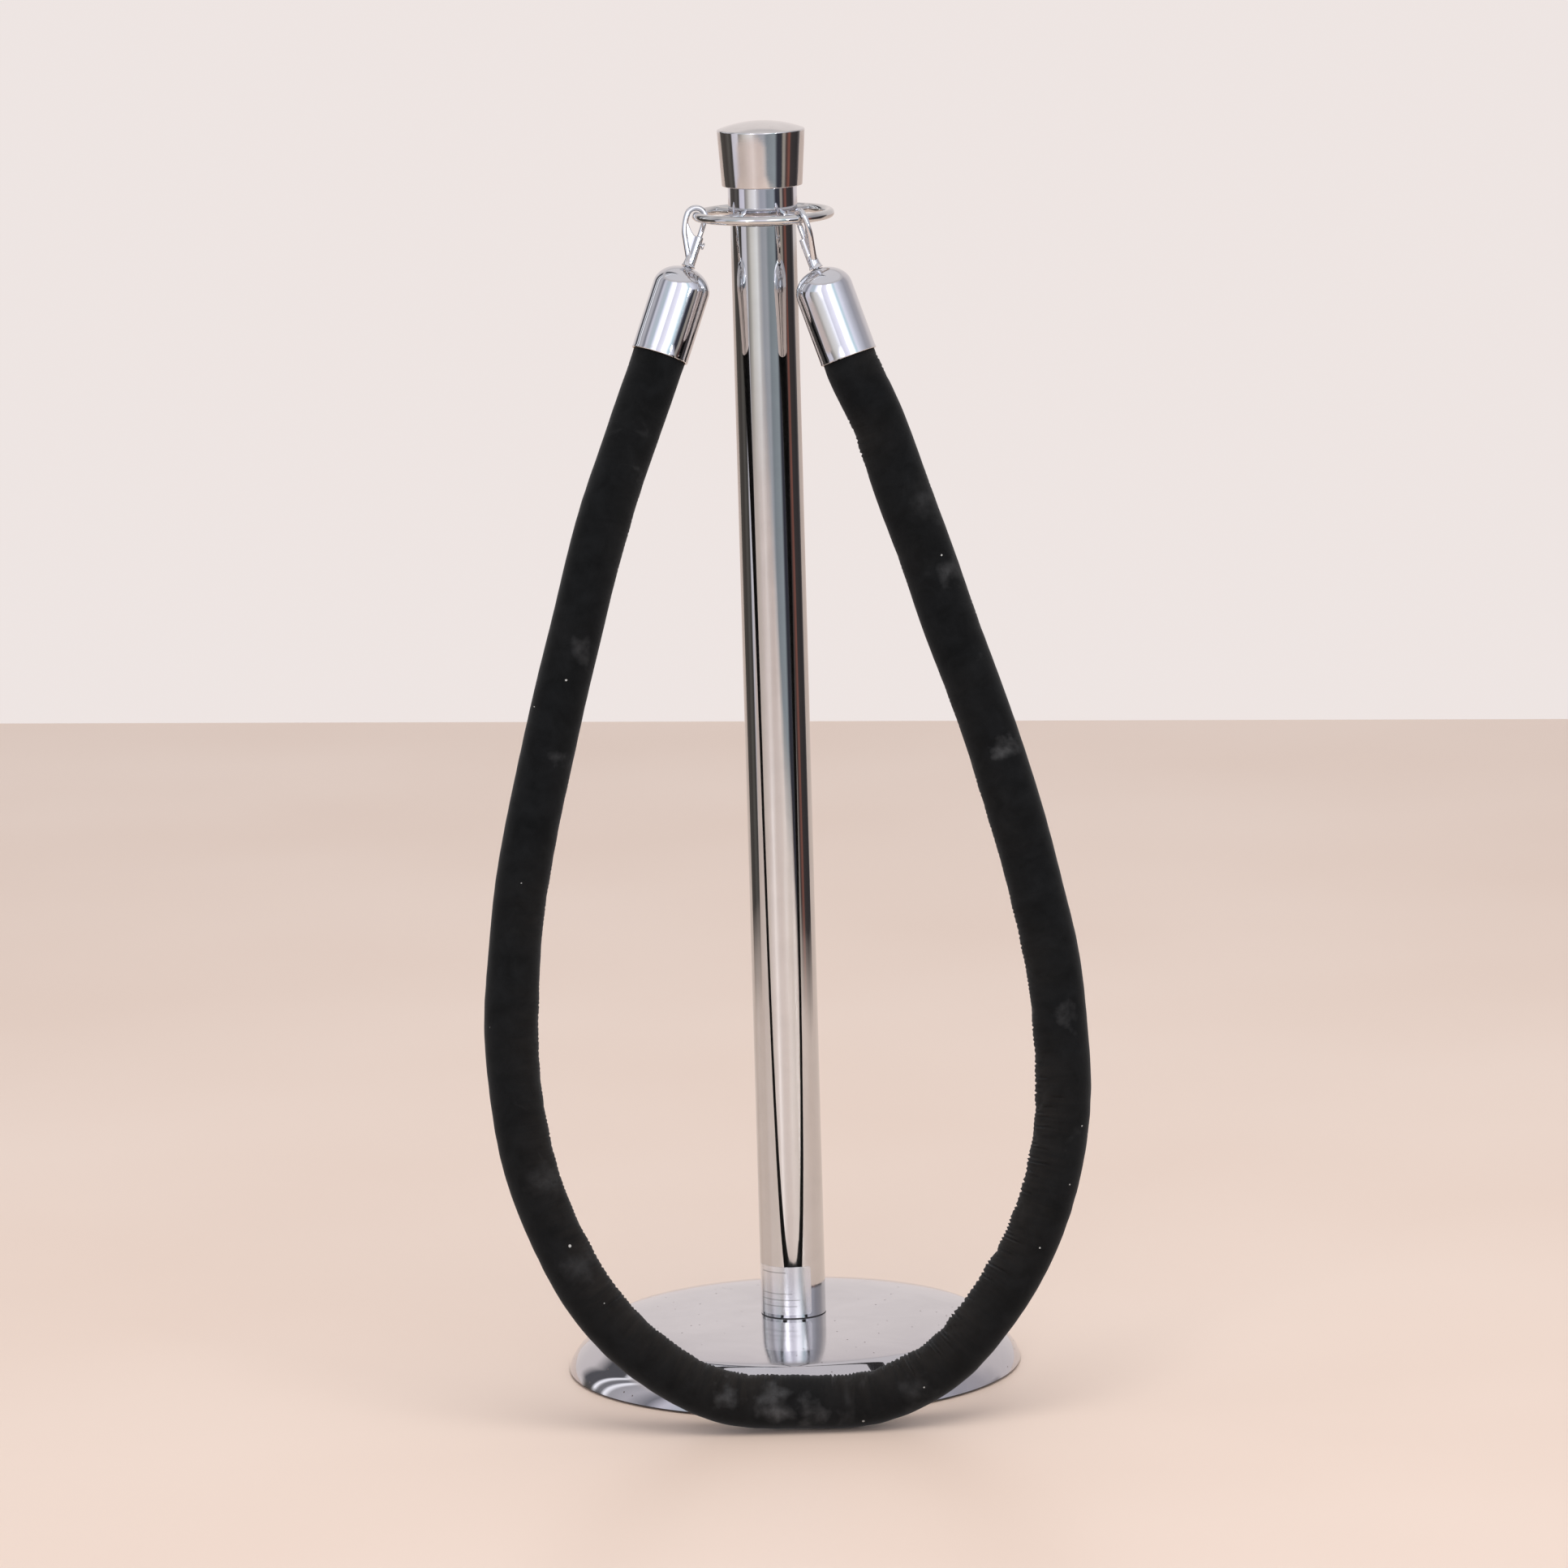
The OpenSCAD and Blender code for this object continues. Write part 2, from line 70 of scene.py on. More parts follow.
# The rope's middle line from the left cap to the right one
ROPE_RUN = [
    (-105, -42, 750), (-124, -55, 700), (-140, -67, 650), (-154, -78, 600), (-168, -90, 550),
    (-181, -102, 500), (-193, -114, 450), (-203, -125, 400), (-209, -137, 350), (-212, -149, 300),
    (-209, -161, 250), (-200, -172, 200), (-182, -184, 150), (-154, -196, 100), (-116, -206, 60),
    (-60, -212, 28), (0, -214, 22), (60, -213, 25), (110, -207, 47), (150, -197, 88),
    (180, -185, 135), (200, -173, 188), (209, -160, 245), (208, -149, 300), (203, -138, 350),
    (193, -127, 400), (181, -116, 450), (167, -106, 500), (151, -96, 550), (134, -87, 600),
    (118, -78, 650), (101, -70, 700), (83, -62, 755),
]


# ---- places ----

def cap_axes(side, turn=0.0):
    """Matrix of an end cap: origin on its dome, +Z out along its axis, turned about it by turn degrees."""
    h = Vector(HEADING[side]).normalized()
    lean = Matrix.Rotation(math.atan2(h.y, h.x), 4, "Z") @ Matrix.Rotation(math.acos(h.z), 4, "Y")
    a = math.radians(HANG_AT[side])
    hold = Vector((RING_R * math.sin(a), -RING_R * math.cos(a), RING_Z)) * MM
    hook = lean @ Matrix.Rotation(math.radians(SNAP_TURN[side]), 4, "Z")
    top = hold - hook.to_3x3() @ (Vector((-ARCH_X, 0, ARCH_Z + PLAY)) * MM)
    return Matrix.Translation(top) @ lean @ Matrix.Rotation(math.radians(turn), 4, "Z")


def mouth(side):
    """Middle of an end cap's open end, where the rope leaves it."""
    return cap_axes(side) @ Vector((0, 0, -CAP_H * MM))


# ---- camera ----

def make_camera():
    """Camera at the viewing angle of the picture, with no shift and no depth of field."""
    place = Vector((-0.082, -6.6, 1.62))
    yaw, pitch, roll = (math.radians(turn) for turn in (0.746, 9.935, -1.600))
    focal, sensor = 10584, 36
    right = Vector((math.cos(yaw), -math.sin(yaw), 0))
    ahead = Vector((math.sin(yaw), math.cos(yaw), 0))
    up = Vector((0, 0, 1))
    look = ahead * math.cos(pitch) - up * math.sin(pitch)
    over = up * math.cos(pitch) + ahead * math.sin(pitch)
    side = right * math.cos(roll) + over * math.sin(roll)
    top = over * math.cos(roll) - right * math.sin(roll)
    camera = bpy.data.objects.new("camera", bpy.data.cameras.new("camera"))
    camera.matrix_world = Matrix.Translation(place) @ Matrix((side, top, -look)).transposed().to_4x4()
    camera.data.sensor_width = sensor
    camera.data.lens = sensor * focal / PICTURE
    camera.data.clip_end = 60
    bpy.context.scene.collection.objects.link(camera)
    bpy.context.scene.camera = camera


# ---- mesh helpers ----

def mesh_object(name, bm, smooth=35):
    """A mesh object from bm, smooth where its faces meet at less than smooth degrees."""
    bmesh.ops.recalc_face_normals(bm, faces=bm.faces)
    mesh = bpy.data.meshes.new(name)
    bm.to_mesh(mesh)
    bm.free()
    return finished(name, mesh, smooth)


def finished(name, mesh, smooth):
    """An object of mesh in the scene, with its flat and smooth faces sorted out."""
    mesh.shade_smooth()
    mesh.set_sharp_from_angle(angle=math.radians(smooth))
    obj = bpy.data.objects.new(name, mesh)
    bpy.context.scene.collection.objects.link(obj)
    return obj


def dressed(obj, material, body, nodes):
    """Gives a piece its material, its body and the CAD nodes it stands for."""
    obj.data.materials.clear()
    obj.data.materials.append(material)
    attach(obj, body)
    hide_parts(*nodes)
    return obj


def spin(bm, outline, segments, place=None):
    """Adds to bm the solid that the closed outline of (radius, height) points makes round the Z axis."""
    place = place or Matrix.Identity(4)
    rings = []
    for r, z in outline:
        count = segments if r > 1e-6 else 1
        angles = [2 * math.pi * k / count for k in range(count)]
        rings.append([
            bm.verts.new(place @ (Vector((r * math.cos(a), r * math.sin(a), z)) * MM)) for a in angles
        ])
    for one, two in zip(rings, rings[1:] + rings[:1]):
        for k in range(segments if len(one) + len(two) > 2 else 0):
            n = k + 1
            loop = [one[k % len(one)], two[k % len(two)], two[n % len(two)], one[n % len(one)]]
            bm.faces.new(list(dict.fromkeys(loop)))


def lathe(name, outline, segments=160, smooth=35):
    """An object made by turning the outline round the Z axis."""
    bm = bmesh.new()
    spin(bm, outline, segments)
    return mesh_object(name, bm, smooth)


def eased(points, steps=4):
    """Closed outline with its corners rounded: points are (radius, height, size of the rounding)."""
    out = []
    count = len(points)
    for i, (r, z, ease) in enumerate(points):
        here = Vector((r, z))
        if not ease:
            out.append((r, z))
            continue
        before = Vector(points[i - 1][:2]) - here
        after = Vector(points[(i + 1) % count][:2]) - here
        a = here + before.normalized() * min(ease, before.length * 0.49)
        b = here + after.normalized() * min(ease, after.length * 0.49)
        for k in range(steps + 1):
            t = k / steps
            p = a * (1 - t) ** 2 + here * 2 * t * (1 - t) + b * t * t
            out.append((p.x, p.y))
    return out


def cut_long(outline, step):
    """The same closed outline with no edge longer than step."""
    out = []
    for a, b in zip(outline, outline[1:] + outline[:1]):
        n = max(1, math.ceil(math.dist(a, b) / step))
        out += [(a[0] + (b[0] - a[0]) * k / n, a[1] + (b[1] - a[1]) * k / n) for k in range(n)]
    return out


def tube_along(bm, points, radii, sides=24, place=None):
    """Adds a round bar with domed ends along points, in millimetres, to bm."""
    place = place or Matrix.Identity(4)
    pts = [Vector(p) for p in points]
    line, size = [], []
    for i, p in enumerate(pts):                       # a domed end is three rings that close in
        if i in (0, len(pts) - 1):
            out = (pts[0] - pts[1]).normalized() if i == 0 else (pts[-1] - pts[-2]).normalized()
            dome = [(math.sin(a) * radii[i], math.cos(a) * radii[i]) for a in (1.45, 1.1, 0.7, 0.35)]
            rows = [(p + out * d, r) for d, r in dome]
            rows = rows + [(p, radii[i])] if i == 0 else [(p, radii[i])] + rows[::-1]
            line += [q for q, _ in rows]
            size += [r for _, r in rows]
        else:
            line.append(p)
            size.append(radii[i])
    rings = []
    for i, p in enumerate(line):
        t = (line[min(i + 1, len(line) - 1)] - line[max(i - 1, 0)]).normalized()
        u = Vector((0, 1, 0))
        v = t.cross(u).normalized()
        rings.append([
            bm.verts.new(place @ ((p + size[i] * (math.cos(a) * u + math.sin(a) * v)) * MM))
            for a in (2 * math.pi * k / sides for k in range(sides))
        ])
    for one, two in zip(rings, rings[1:]):
        for k in range(sides):
            n = (k + 1) % sides
            bm.faces.new((one[k], one[n], two[n], two[k]))
    bm.faces.new(rings[0][::-1])
    bm.faces.new(rings[-1])


def with_modifiers(obj):
    """Applies obj's modifiers and returns its mesh."""
    bpy.context.view_layer.update()
    done = bpy.data.meshes.new_from_object(obj.evaluated_get(bpy.context.evaluated_depsgraph_get()))
    obj.modifiers.clear()
    old, obj.data = obj.data, done
    bpy.data.meshes.remove(old)
    return done


# ---- rope ----

def run_along(points):
    """How far each point is from the first, measured along the line through them."""
    return np.concatenate([[0], np.cumsum(np.linalg.norm(np.diff(points, axis=0), axis=1))])


def smooth_line(points, step):
    """Points about step apart on the smooth curve through points, and how far along it each one is."""
    p = np.array(points, float)
    chord = run_along(p)
    d = np.gradient(p, chord, axis=0)
    d[0] = -np.array(Vector(HEADING["left"]).normalized())
    d[-1] = np.array(Vector(HEADING["right"]).normalized())
    dense = []
    for i in range(len(p) - 1):
        h = chord[i + 1] - chord[i]
        t = np.linspace(0, 1, 60, endpoint=i == len(p) - 2)[:, None]
        dense.append(
            (2 * t**3 - 3 * t**2 + 1) * p[i] + (t**3 - 2 * t**2 + t) * h * d[i]
            + (3 * t**2 - 2 * t**3) * p[i + 1] + (t**3 - t**2) * h * d[i + 1]
        )
    dense = np.concatenate(dense)
    run = run_along(dense)
    at = np.linspace(0, run[-1], int(round(run[-1] / step)) + 1)
    return np.stack([np.interp(at, run, dense[:, k]) for k in range(3)], axis=1), at


def waves(rng, s, phi, lengths, count, skew):
    """Irregular waves along s, with crests that wander round the rope."""
    total = np.zeros_like(s + phi)
    for _ in range(count):
        size = rng.uniform(*lengths)
        lag, turn, amount = rng.uniform(0, 2 * np.pi, 3)
        bend = rng.uniform(0.4, 1.0) * skew
        strength = 0.6 + 0.4 * np.sin(amount)
        total = total + np.sin(2 * np.pi * s / size + lag + bend * np.sin(phi + turn)) * strength
    return total / math.sqrt(count)


def rope_frame(path, s):
    """Two directions across the rope at each point of path, and the way and amount that it bends there."""
    tangent = np.gradient(path, s, axis=0)
    tangent /= np.linalg.norm(tangent, axis=1)[:, None]
    u = np.cross(tangent, (0, 1, 0))
    u /= np.linalg.norm(u, axis=1)[:, None]
    v = np.cross(u, tangent)
    bend = np.gradient(tangent, s, axis=0)
    reach = 20                                              # points on each side that are averaged
    kernel = np.ones(2 * reach + 1) / (2 * reach + 1)
    padded = [np.pad(bend[:, k], reach, "edge") for k in range(3)]
    return u, v, np.stack([np.convolve(row, kernel, "valid") for row in padded], axis=1)


def sleeve_radius(path, s, phi, tight, facing):
    """Radius of the sleeve round each point of path: ruffles, waves, lumps and the seam along its back."""
    rng = np.random.default_rng(7)
    x = path[:, 0:1]
    along = s[:, None]
    fine = waves(rng, along, phi, (0.0052, 0.0105), 7, 2.2)
    gather = 0.72 + 0.28 * np.clip(x / 0.12, -1, 1)                 # stronger towards the right side
    ruffle = (np.abs(fine) ** 0.6 - 0.8) * 0.0042 * tight * facing**2.2 * gather
    faint = waves(rng, along, phi, (0.012, 0.03), 6, 1.6) * 0.00016 * (0.35 + 0.65 * tight)
    lumps = waves(rng, along, phi, (0.09, 0.26), 6, 1.2) * 0.00042
    swell = 0.00055 * np.clip((x - 0.02) / 0.1, -0.6, 1)            # the right side is a little fuller
    off_seam = (phi - 1.75 + 0.1 * np.sin(along * 9) + np.pi) % (2 * np.pi) - np.pi
    seam = -0.00055 * np.exp(-((off_seam / 0.045) ** 2))
    end = np.minimum(s, s[-1] - s)[:, None]
    away = np.clip(end / 0.012, 0, 1)
    away = away * away * (3 - 2 * away)                             # 0 at the ends, inside the caps
    return ROPE_R * MM - 0.0004 + away * (0.0002 + swell + ruffle + faint + lumps + seam)


def sleeve_mesh(rings, s, fold):
    """Closed mesh through rings of points, with UVs in metres: along the rope, then round it."""
    rows, sides = rings.shape[:2]
    index = np.arange(rows * sides).reshape(rows, sides)
    a, b = index[:-1], index[1:]
    faces = np.stack([a, np.roll(a, -1, 1), np.roll(b, -1, 1), b], axis=-1).reshape(-1, 4)
    ends = [index[0][::-1].tolist(), index[-1].tolist()]
    mesh = bpy.data.meshes.new("velvet_rope")
    mesh.from_pydata(rings.reshape(-1, 3).tolist(), [], faces.tolist() + ends)
    uv = mesh.uv_layers.new(name="UVMap")
    corner = np.zeros(len(mesh.loops), int)
    mesh.loops.foreach_get("vertex_index", corner)
    round_at = (corner % sides).astype(float)
    column = np.repeat(np.arange(len(faces)), 4) % sides            # the face's own place round the rope
    quad = len(faces) * 4
    wraps = (column == sides - 1) & (round_at[:quad] == 0)
    round_at[:quad] = np.where(wraps, sides, round_at[:quad])
    at = np.stack([s[corner // sides], round_at / sides * 2 * np.pi * ROPE_R * MM], axis=1)
    uv.data.foreach_set("uv", at.astype(np.float32).ravel())
    layer = mesh.attributes.new("fold", "FLOAT", "POINT")
    layer.data.foreach_set("value", np.broadcast_to(fold, (rows, sides)).astype(np.float32).ravel())
    mesh.validate()
    return mesh


def make_rope():
    """Velvet sleeve: a soft tube, ruffled on the inner side of its bend, closed inside the end caps."""
    step, sides, clearance = 0.0016, 84, 0.0002
    path, s = smooth_line([mouth("left")] + [Vector(p) * MM for p in ROPE_RUN] + [mouth("right")], step)
    u, v, bend = rope_frame(path, s)
    inner = np.arctan2((bend * v).sum(1), (bend * u).sum(1))[:, None]
    phi = np.linspace(0, 2 * np.pi, sides, endpoint=False)[None, :]
    facing = np.clip(0.5 + 0.5 * np.cos(phi - inner), 0, 1)         # 1 on the inner side of the bend
    tight = np.clip(np.linalg.norm(bend, axis=1) / 4.2, 0, 1)[:, None]     # 1 where the rope bends most
    radius = sleeve_radius(path, s, phi, tight, facing)
    rings = path[:, None, :] + radius[..., None] * (
        np.cos(phi)[..., None] * u[:, None, :] + np.sin(phi)[..., None] * v[:, None, :]
    )
    rings[..., 2] = np.maximum(rings[..., 2], clearance)            # never below the floor
    rope = finished("velvet_rope", sleeve_mesh(rings, s, tight * facing**1.4), 60)
    dressed(rope, velvet(), "rope", ["velvet_sleeve", "rope_core"])


# ---- materials ----

def fresh(name):
    """A new material, its node tree and its Principled shader."""
    material = bpy.data.materials.new(name)
    material.use_nodes = True
    tree = material.node_tree
    return material, tree, tree.nodes["Principled BSDF"]


def node(tree, kind, feed=None, **values):
    """Adds a node; feed maps its inputs, by name or number, to an output or to a constant."""
    made = tree.nodes.new("ShaderNode" + kind)
    for key, value in values.items():
        setattr(made, key, value)
    for key, value in (feed or {}).items():
        if isinstance(value, bpy.types.NodeSocket):
            tree.links.new(value, made.inputs[key])
        else:
            made.inputs[key].default_value = value
    return made


def put(tree, shader, **feed):
    """Sets or links inputs of the shader; an underscore in a name is a space."""
    for key, value in feed.items():
        socket = shader.inputs[key.replace("_", " ")]
        if isinstance(value, bpy.types.NodeSocket):
            tree.links.new(value, socket)
        else:
            socket.default_value = value


def place_of(tree, stretch=(1, 1, 1), uv=False):
    """Coordinates on the piece, in metres, with each axis multiplied."""
    where = node(tree, "TexCoord").outputs["UV" if uv else "Object"]
    return node(tree, "Mapping", {"Vector": where, "Scale": stretch}).outputs[0]


def noise(tree, where, scale, detail=3, rough=0.55, distort=0.0):
    feed = {"Vector": where, "Scale": scale, "Detail": detail, "Roughness": rough, "Distortion": distort}
    return node(tree, "TexNoise", feed).outputs["Fac"]


def ramp(tree, fac, *stops):
    """Colour ramp through (position, colour) stops; a single number is a grey."""
    made = node(tree, "ValToRGB", {"Fac": fac})
    while len(made.color_ramp.elements) < len(stops):
        made.color_ramp.elements.new(1)
    for element, (at, colour) in zip(made.color_ramp.elements, stops):
        element.position = at
        element.color = (*((colour,) * 3 if isinstance(colour, (int, float)) else colour), 1)
    return made.outputs["Color"]


def spread(tree, value, low, high, out_low, out_high):
    feed = {"Value": value, "From Min": low, "From Max": high, "To Min": out_low, "To Max": out_high}
    return node(tree, "MapRange", feed).outputs[0]


def math_of(tree, operation, a, b=0.0):
    return node(tree, "Math", {0: a, 1: b}, operation=operation).outputs[0]


def length_of(tree, x, y):
    """Length of the vector (x, y)."""
    squares = [math_of(tree, "MULTIPLY", side, side) for side in (x, y)]
    return math_of(tree, "SQRT", math_of(tree, "ADD", *squares))


def within(tree, value, middle, reach):
    """1 where value is at most reach away from middle, and 0 elsewhere."""
    return node(tree, "Math", {0: value, 1: middle, 2: reach}, operation="COMPARE").outputs[0]


def flecks(tree, where, scale, bare, size):
    """1 on small round flecks in random cells, and 0 elsewhere; bare is the share of cells without one."""
    cell = node(tree, "TexVoronoi", {"Vector": where, "Scale": scale, "Randomness": 1.0})
    draw = node(tree, "SeparateColor", {0: cell.outputs["Color"]}).outputs[0]
    chosen = math_of(tree, "GREATER_THAN", draw, bare)
    return math_of(tree, "MULTIPLY", math_of(tree, "LESS_THAN", cell.outputs["Distance"], size), chosen)


def tangent_round(tree):
    """Tangent round the Z axis, for marks left by turning or wrapping."""
    return node(tree, "Tangent", direction_type="RADIAL", axis="Z").outputs[0]


def mixed(tree, fac, a, b):
    made = node(tree, "Mix", data_type="RGBA")
    for key, value in ((0, fac), (6, a), (7, b)):
        if isinstance(value, bpy.types.NodeSocket):
            tree.links.new(value, made.inputs[key])
        else:
            made.inputs[key].default_value = value if key == 0 else (*value, 1)
    return made.outputs[2]


def bump(tree, height, distance, strength=1.0, normal=None):
    feed = {"Height": height, "Distance": distance, "Strength": strength}
    if normal is not None:
        feed["Normal"] = normal
    return node(tree, "Bump", feed).outputs[0]


def chrome(name, tint=(0.66, 0.665, 0.67), rough=(0.03, 0.09), ripple=0.00006, along=(1, 1, 1)):
    """Polished plating with faint smudges, hair scratches and a slight waviness."""
    material, tree, shader = fresh(name)
    where = place_of(tree)
    smudge = noise(tree, where, 38, 5, 0.62, 0.4)
    hair = noise(tree, place_of(tree, along), 900, 2)
    dull = ramp(tree, smudge, (0.35, tint), (0.75, tuple(0.93 * t for t in tint)))
    wave = bump(tree, noise(tree, where, 22, 1), ripple)
    put(
        tree, shader, Base_Color=dull, Metallic=1.0,
        Roughness=spread(tree, smudge, 0.35, 0.8, rough[0], rough[1]),
        Normal=bump(tree, hair, 0.000004, 0.6, wave),
    )
    return material


def base_chrome():
    """The base's plating: hazed by floor dust, with dark specks and wiping marks."""
    material, tree, shader = fresh("chrome_base")
    where = place_of(tree)
    haze = noise(tree, where, 16, 6, 0.6, 0.6)
    wiped = noise(tree, place_of(tree, (1, 6, 1)), 30, 4, 0.6, 0.8)
    dot = flecks(tree, where, 150, 0.72, 0.11)
    hazed = ramp(tree, haze, (0.3, (0.635, 0.625, 0.66)), (0.7, (0.565, 0.555, 0.59)))
    x, y, _ = node(tree, "SeparateXYZ", {0: where}).outputs
    away = length_of(tree, x, y)
    clean = spread(tree, away, 0.146, 0.152, 1, 0.3)
    rough = math_of(tree, "MULTIPLY", spread(tree, wiped, 0.3, 0.75, 0.06, 0.14), clean)
    put(
        tree, shader, Base_Color=mixed(tree, dot, hazed, (0.12, 0.10, 0.10)),
        Metallic=spread(tree, dot, 0, 1, 0.97, 0.2),
        Roughness=math_of(tree, "ADD", rough, math_of(tree, "MULTIPLY", dot, 0.4)),
        Normal=bump(tree, noise(tree, where, 14, 1), 0.00022),
    )
    return material


def turned_chrome():
    """The crown: bright turned metal with fine tool marks round it."""
    material, tree, shader = fresh("chrome_crown")
    where = place_of(tree)
    marks = noise(tree, place_of(tree, (1, 1, 60)), 60, 3)
    smudge = noise(tree, where, 45, 4)
    colour = ramp(tree, smudge, (0.35, (0.75, 0.745, 0.75)), (0.75, (0.68, 0.67, 0.675)))
    put(
        tree, shader, Base_Color=colour, Metallic=1.0, Roughness=spread(tree, smudge, 0.3, 0.7, 0.045, 0.09),
        Anisotropic=0.5, Tangent=tangent_round(tree),
        Normal=bump(tree, marks, 0.000012),
    )
    return material


# Rules printed on the foil label: height, half thickness, start and stop along it
RULES = ((34.0, 0.45, 6, 30), (17.0, 0.35, 7, 34), (12.0, 0.35, 7, 40), (7.0, 0.35, 7, 38))


def foil():
    """Brushed silver foil label, with plain printed rules and no lettering."""
    material, tree, shader = fresh("foil")
    grain = noise(tree, place_of(tree, (12, 900, 1), uv=True), 60, 3)
    across, up, _ = node(tree, "SeparateXYZ", {0: place_of(tree, uv=True)}).outputs
    ink = None
    for height, half, start, stop in RULES:
        row = within(tree, up, height * MM, half * MM)
        run = within(tree, across, (start + stop) / 2 * MM, (stop - start) / 2 * MM)
        bar = math_of(tree, "MULTIPLY", row, run)
        ink = bar if ink is None else math_of(tree, "MAXIMUM", ink, bar)
    silver = ramp(tree, grain, (0.3, (0.95, 0.95, 0.96)), (0.7, (0.87, 0.87, 0.885)))
    printed = mixed(tree, math_of(tree, "MULTIPLY", ink, 0.45), silver, (0.10, 0.10, 0.11))
    put(
        tree, shader, Base_Color=printed, Metallic=0.92, Roughness=spread(tree, grain, 0.3, 0.7, 0.24, 0.31),
        Anisotropic=0.75, Anisotropic_Rotation=0.25, Tangent=tangent_round(tree),
        Normal=bump(tree, grain, 0.00001),
    )
    return material


# Grey places on the front of the rope: wear, and along the outer side of the right leg (z 508 to 700)
# painted light of its lit side; x and z, how far each reaches, how strong
WORN_AND_LIT = (
    (-148, 590, 12, 0.45), (-166, 508, 9, 0.35), (-188, 195, 16, 0.3), (-166, 130, 16, 0.35),
    (-55, 30, 13, 0.8), (-20, 24, 17, 1.0), (10, 18, 13, 0.7), (90, 30, 15, 0.4), (122, 700, 20, 0.3),
    (136, 642, 14, 0.6), (172, 508, 12, 0.8), (213, 305, 10, 0.4),
)
# Bits of white fluff, and at (-162, 568), the first, a painted glint: x and z, and their size
LINT_AND_GLINT = (
    (-162, 568, 1.6), (-187, 548, 1.0), (-172, 147, 2.2), (128, 655, 1.3), (230, 272, 1.2),
    (222, 223, 1.1), (211, 180, 1.0), (95, 34, 1.2), (48, 9, 1.8), (78, 9, 1.8),
)


def spots(tree, where, table, wander):
    """The strength of each listed place, 1 if it has none, falling to 0 at its reach; front side only.

    wander, in millimetres, blurs the outlines.
    """
    stray = node(tree, "TexNoise", {"Vector": where, "Scale": 70.0, "Detail": 4.0}).outputs["Color"]
    centred = node(tree, "VectorMath", {0: stray, 1: (0.5, 0.5, 0.5)}, operation="SUBTRACT").outputs[0]
    drift = node(tree, "VectorMath", {0: centred, 1: (wander * MM,) * 3}, operation="MULTIPLY").outputs[0]
    moved = node(tree, "VectorMath", {0: where, 1: drift}, operation="ADD").outputs[0]
    x, _, z = node(tree, "SeparateXYZ", {0: moved}).outputs
    found = None
    for px, pz, reach, *strength in table:
        dx = math_of(tree, "SUBTRACT", x, px * MM)
        dz = math_of(tree, "SUBTRACT", z, pz * MM)
        away = length_of(tree, dx, dz)
        spot = spread(tree, away, 0, reach * MM, strength[0] if strength else 1, 0)
        found = spot if found is None else math_of(tree, "MAXIMUM", found, spot)
    facing = node(tree, "SeparateXYZ", {0: node(tree, "NewGeometry").outputs["Normal"]}).outputs[1]
    front = spread(tree, facing, -0.5, -0.2, 1, 0)
    return math_of(tree, "MULTIPLY", found, front)


def velvet():
    """Black velvet: dark pile with a soft sheen, painted sheen as a lighter warm tone on the folds of the
    inner bends, grey patches of wear with painted light along the lit outer side of the right leg, and
    specks of white fluff with one painted glint.
    """
    material, tree, shader = fresh("velvet")
    where = place_of(tree)
    fold = node(tree, "Attribute", attribute_name="fold").outputs["Fac"]
    pile = noise(tree, where, 1500, 2, 0.7)
    crushed = noise(tree, where, 60, 4, 0.6, 0.5)
    patch = noise(tree, where, 13, 4, 0.62, 0.9)
    streak = noise(tree, place_of(tree, (160, 24, 1), uv=True), 1, 3, 0.6, 0.6)
    dark = ramp(tree, crushed, (0.35, (0.0034, 0.0039, 0.0043)), (0.7, (0.0074, 0.0082, 0.0090)))
    # Painted sheen: a lighter warm tone along the ruffled inner side of each bend, where the rope's upper
    # rim catches the light
    fold_sheen = math_of(tree, "MULTIPLY", fold, spread(tree, streak, 0.35, 0.75, 0.35, 0.75))
    with_fold_sheen = mixed(tree, fold_sheen, dark, (0.027, 0.0225, 0.0190))
    # Grey: wear, and painted light on the lit outer side of the right leg
    rubbed_and_lit = math_of(tree, "MAXIMUM", spots(tree, where, WORN_AND_LIT, 34), spread(tree, patch, 0.62, 0.8, 0, 0.5))
    worn_and_lit = math_of(tree, "MULTIPLY", rubbed_and_lit, spread(tree, crushed, 0.3, 0.7, 0.25, 1))
    grey = mixed(tree, worn_and_lit, with_fold_sheen, (0.085, 0.086, 0.088))
    lint_and_glint = flecks(tree, where, 75, 0.9, 0.055)
    # Adds the listed white specks: fluff, and one painted glint
    lint_and_glint = math_of(tree, "MAXIMUM", lint_and_glint, math_of(tree, "GREATER_THAN", spots(tree, where, LINT_AND_GLINT, 2), 0.5))
    height = math_of(tree, "ADD", math_of(tree, "MULTIPLY", pile, 0.35), streak)
    put(
        tree, shader, Base_Color=mixed(tree, lint_and_glint, grey, (0.42, 0.42, 0.40)), Roughness=0.95,
        Specular_IOR_Level=0.12, Sheen_Weight=0.16, Sheen_Roughness=0.42, Sheen_Tint=(0.75, 0.78, 0.8, 1),
        Normal=bump(tree, height, 0.00035, 0.7, bump(tree, crushed, 0.0005, 0.5)),
    )
    return material


def plain(name, dark, light, scale, rough, metallic=0.0, depth=0.00005, stretch=(1, 1, 1)):
    """A mottled finish between two colours, with its own grain."""
    material, tree, shader = fresh(name)
    grain = noise(tree, place_of(tree, stretch), scale, 5, 0.6, 0.3)
    put(
        tree, shader, Base_Color=ramp(tree, grain, (0.3, dark), (0.7, light)), Metallic=metallic,
        Roughness=spread(tree, grain, 0.3, 0.7, *rough), Normal=bump(tree, grain, depth),
    )
    return material


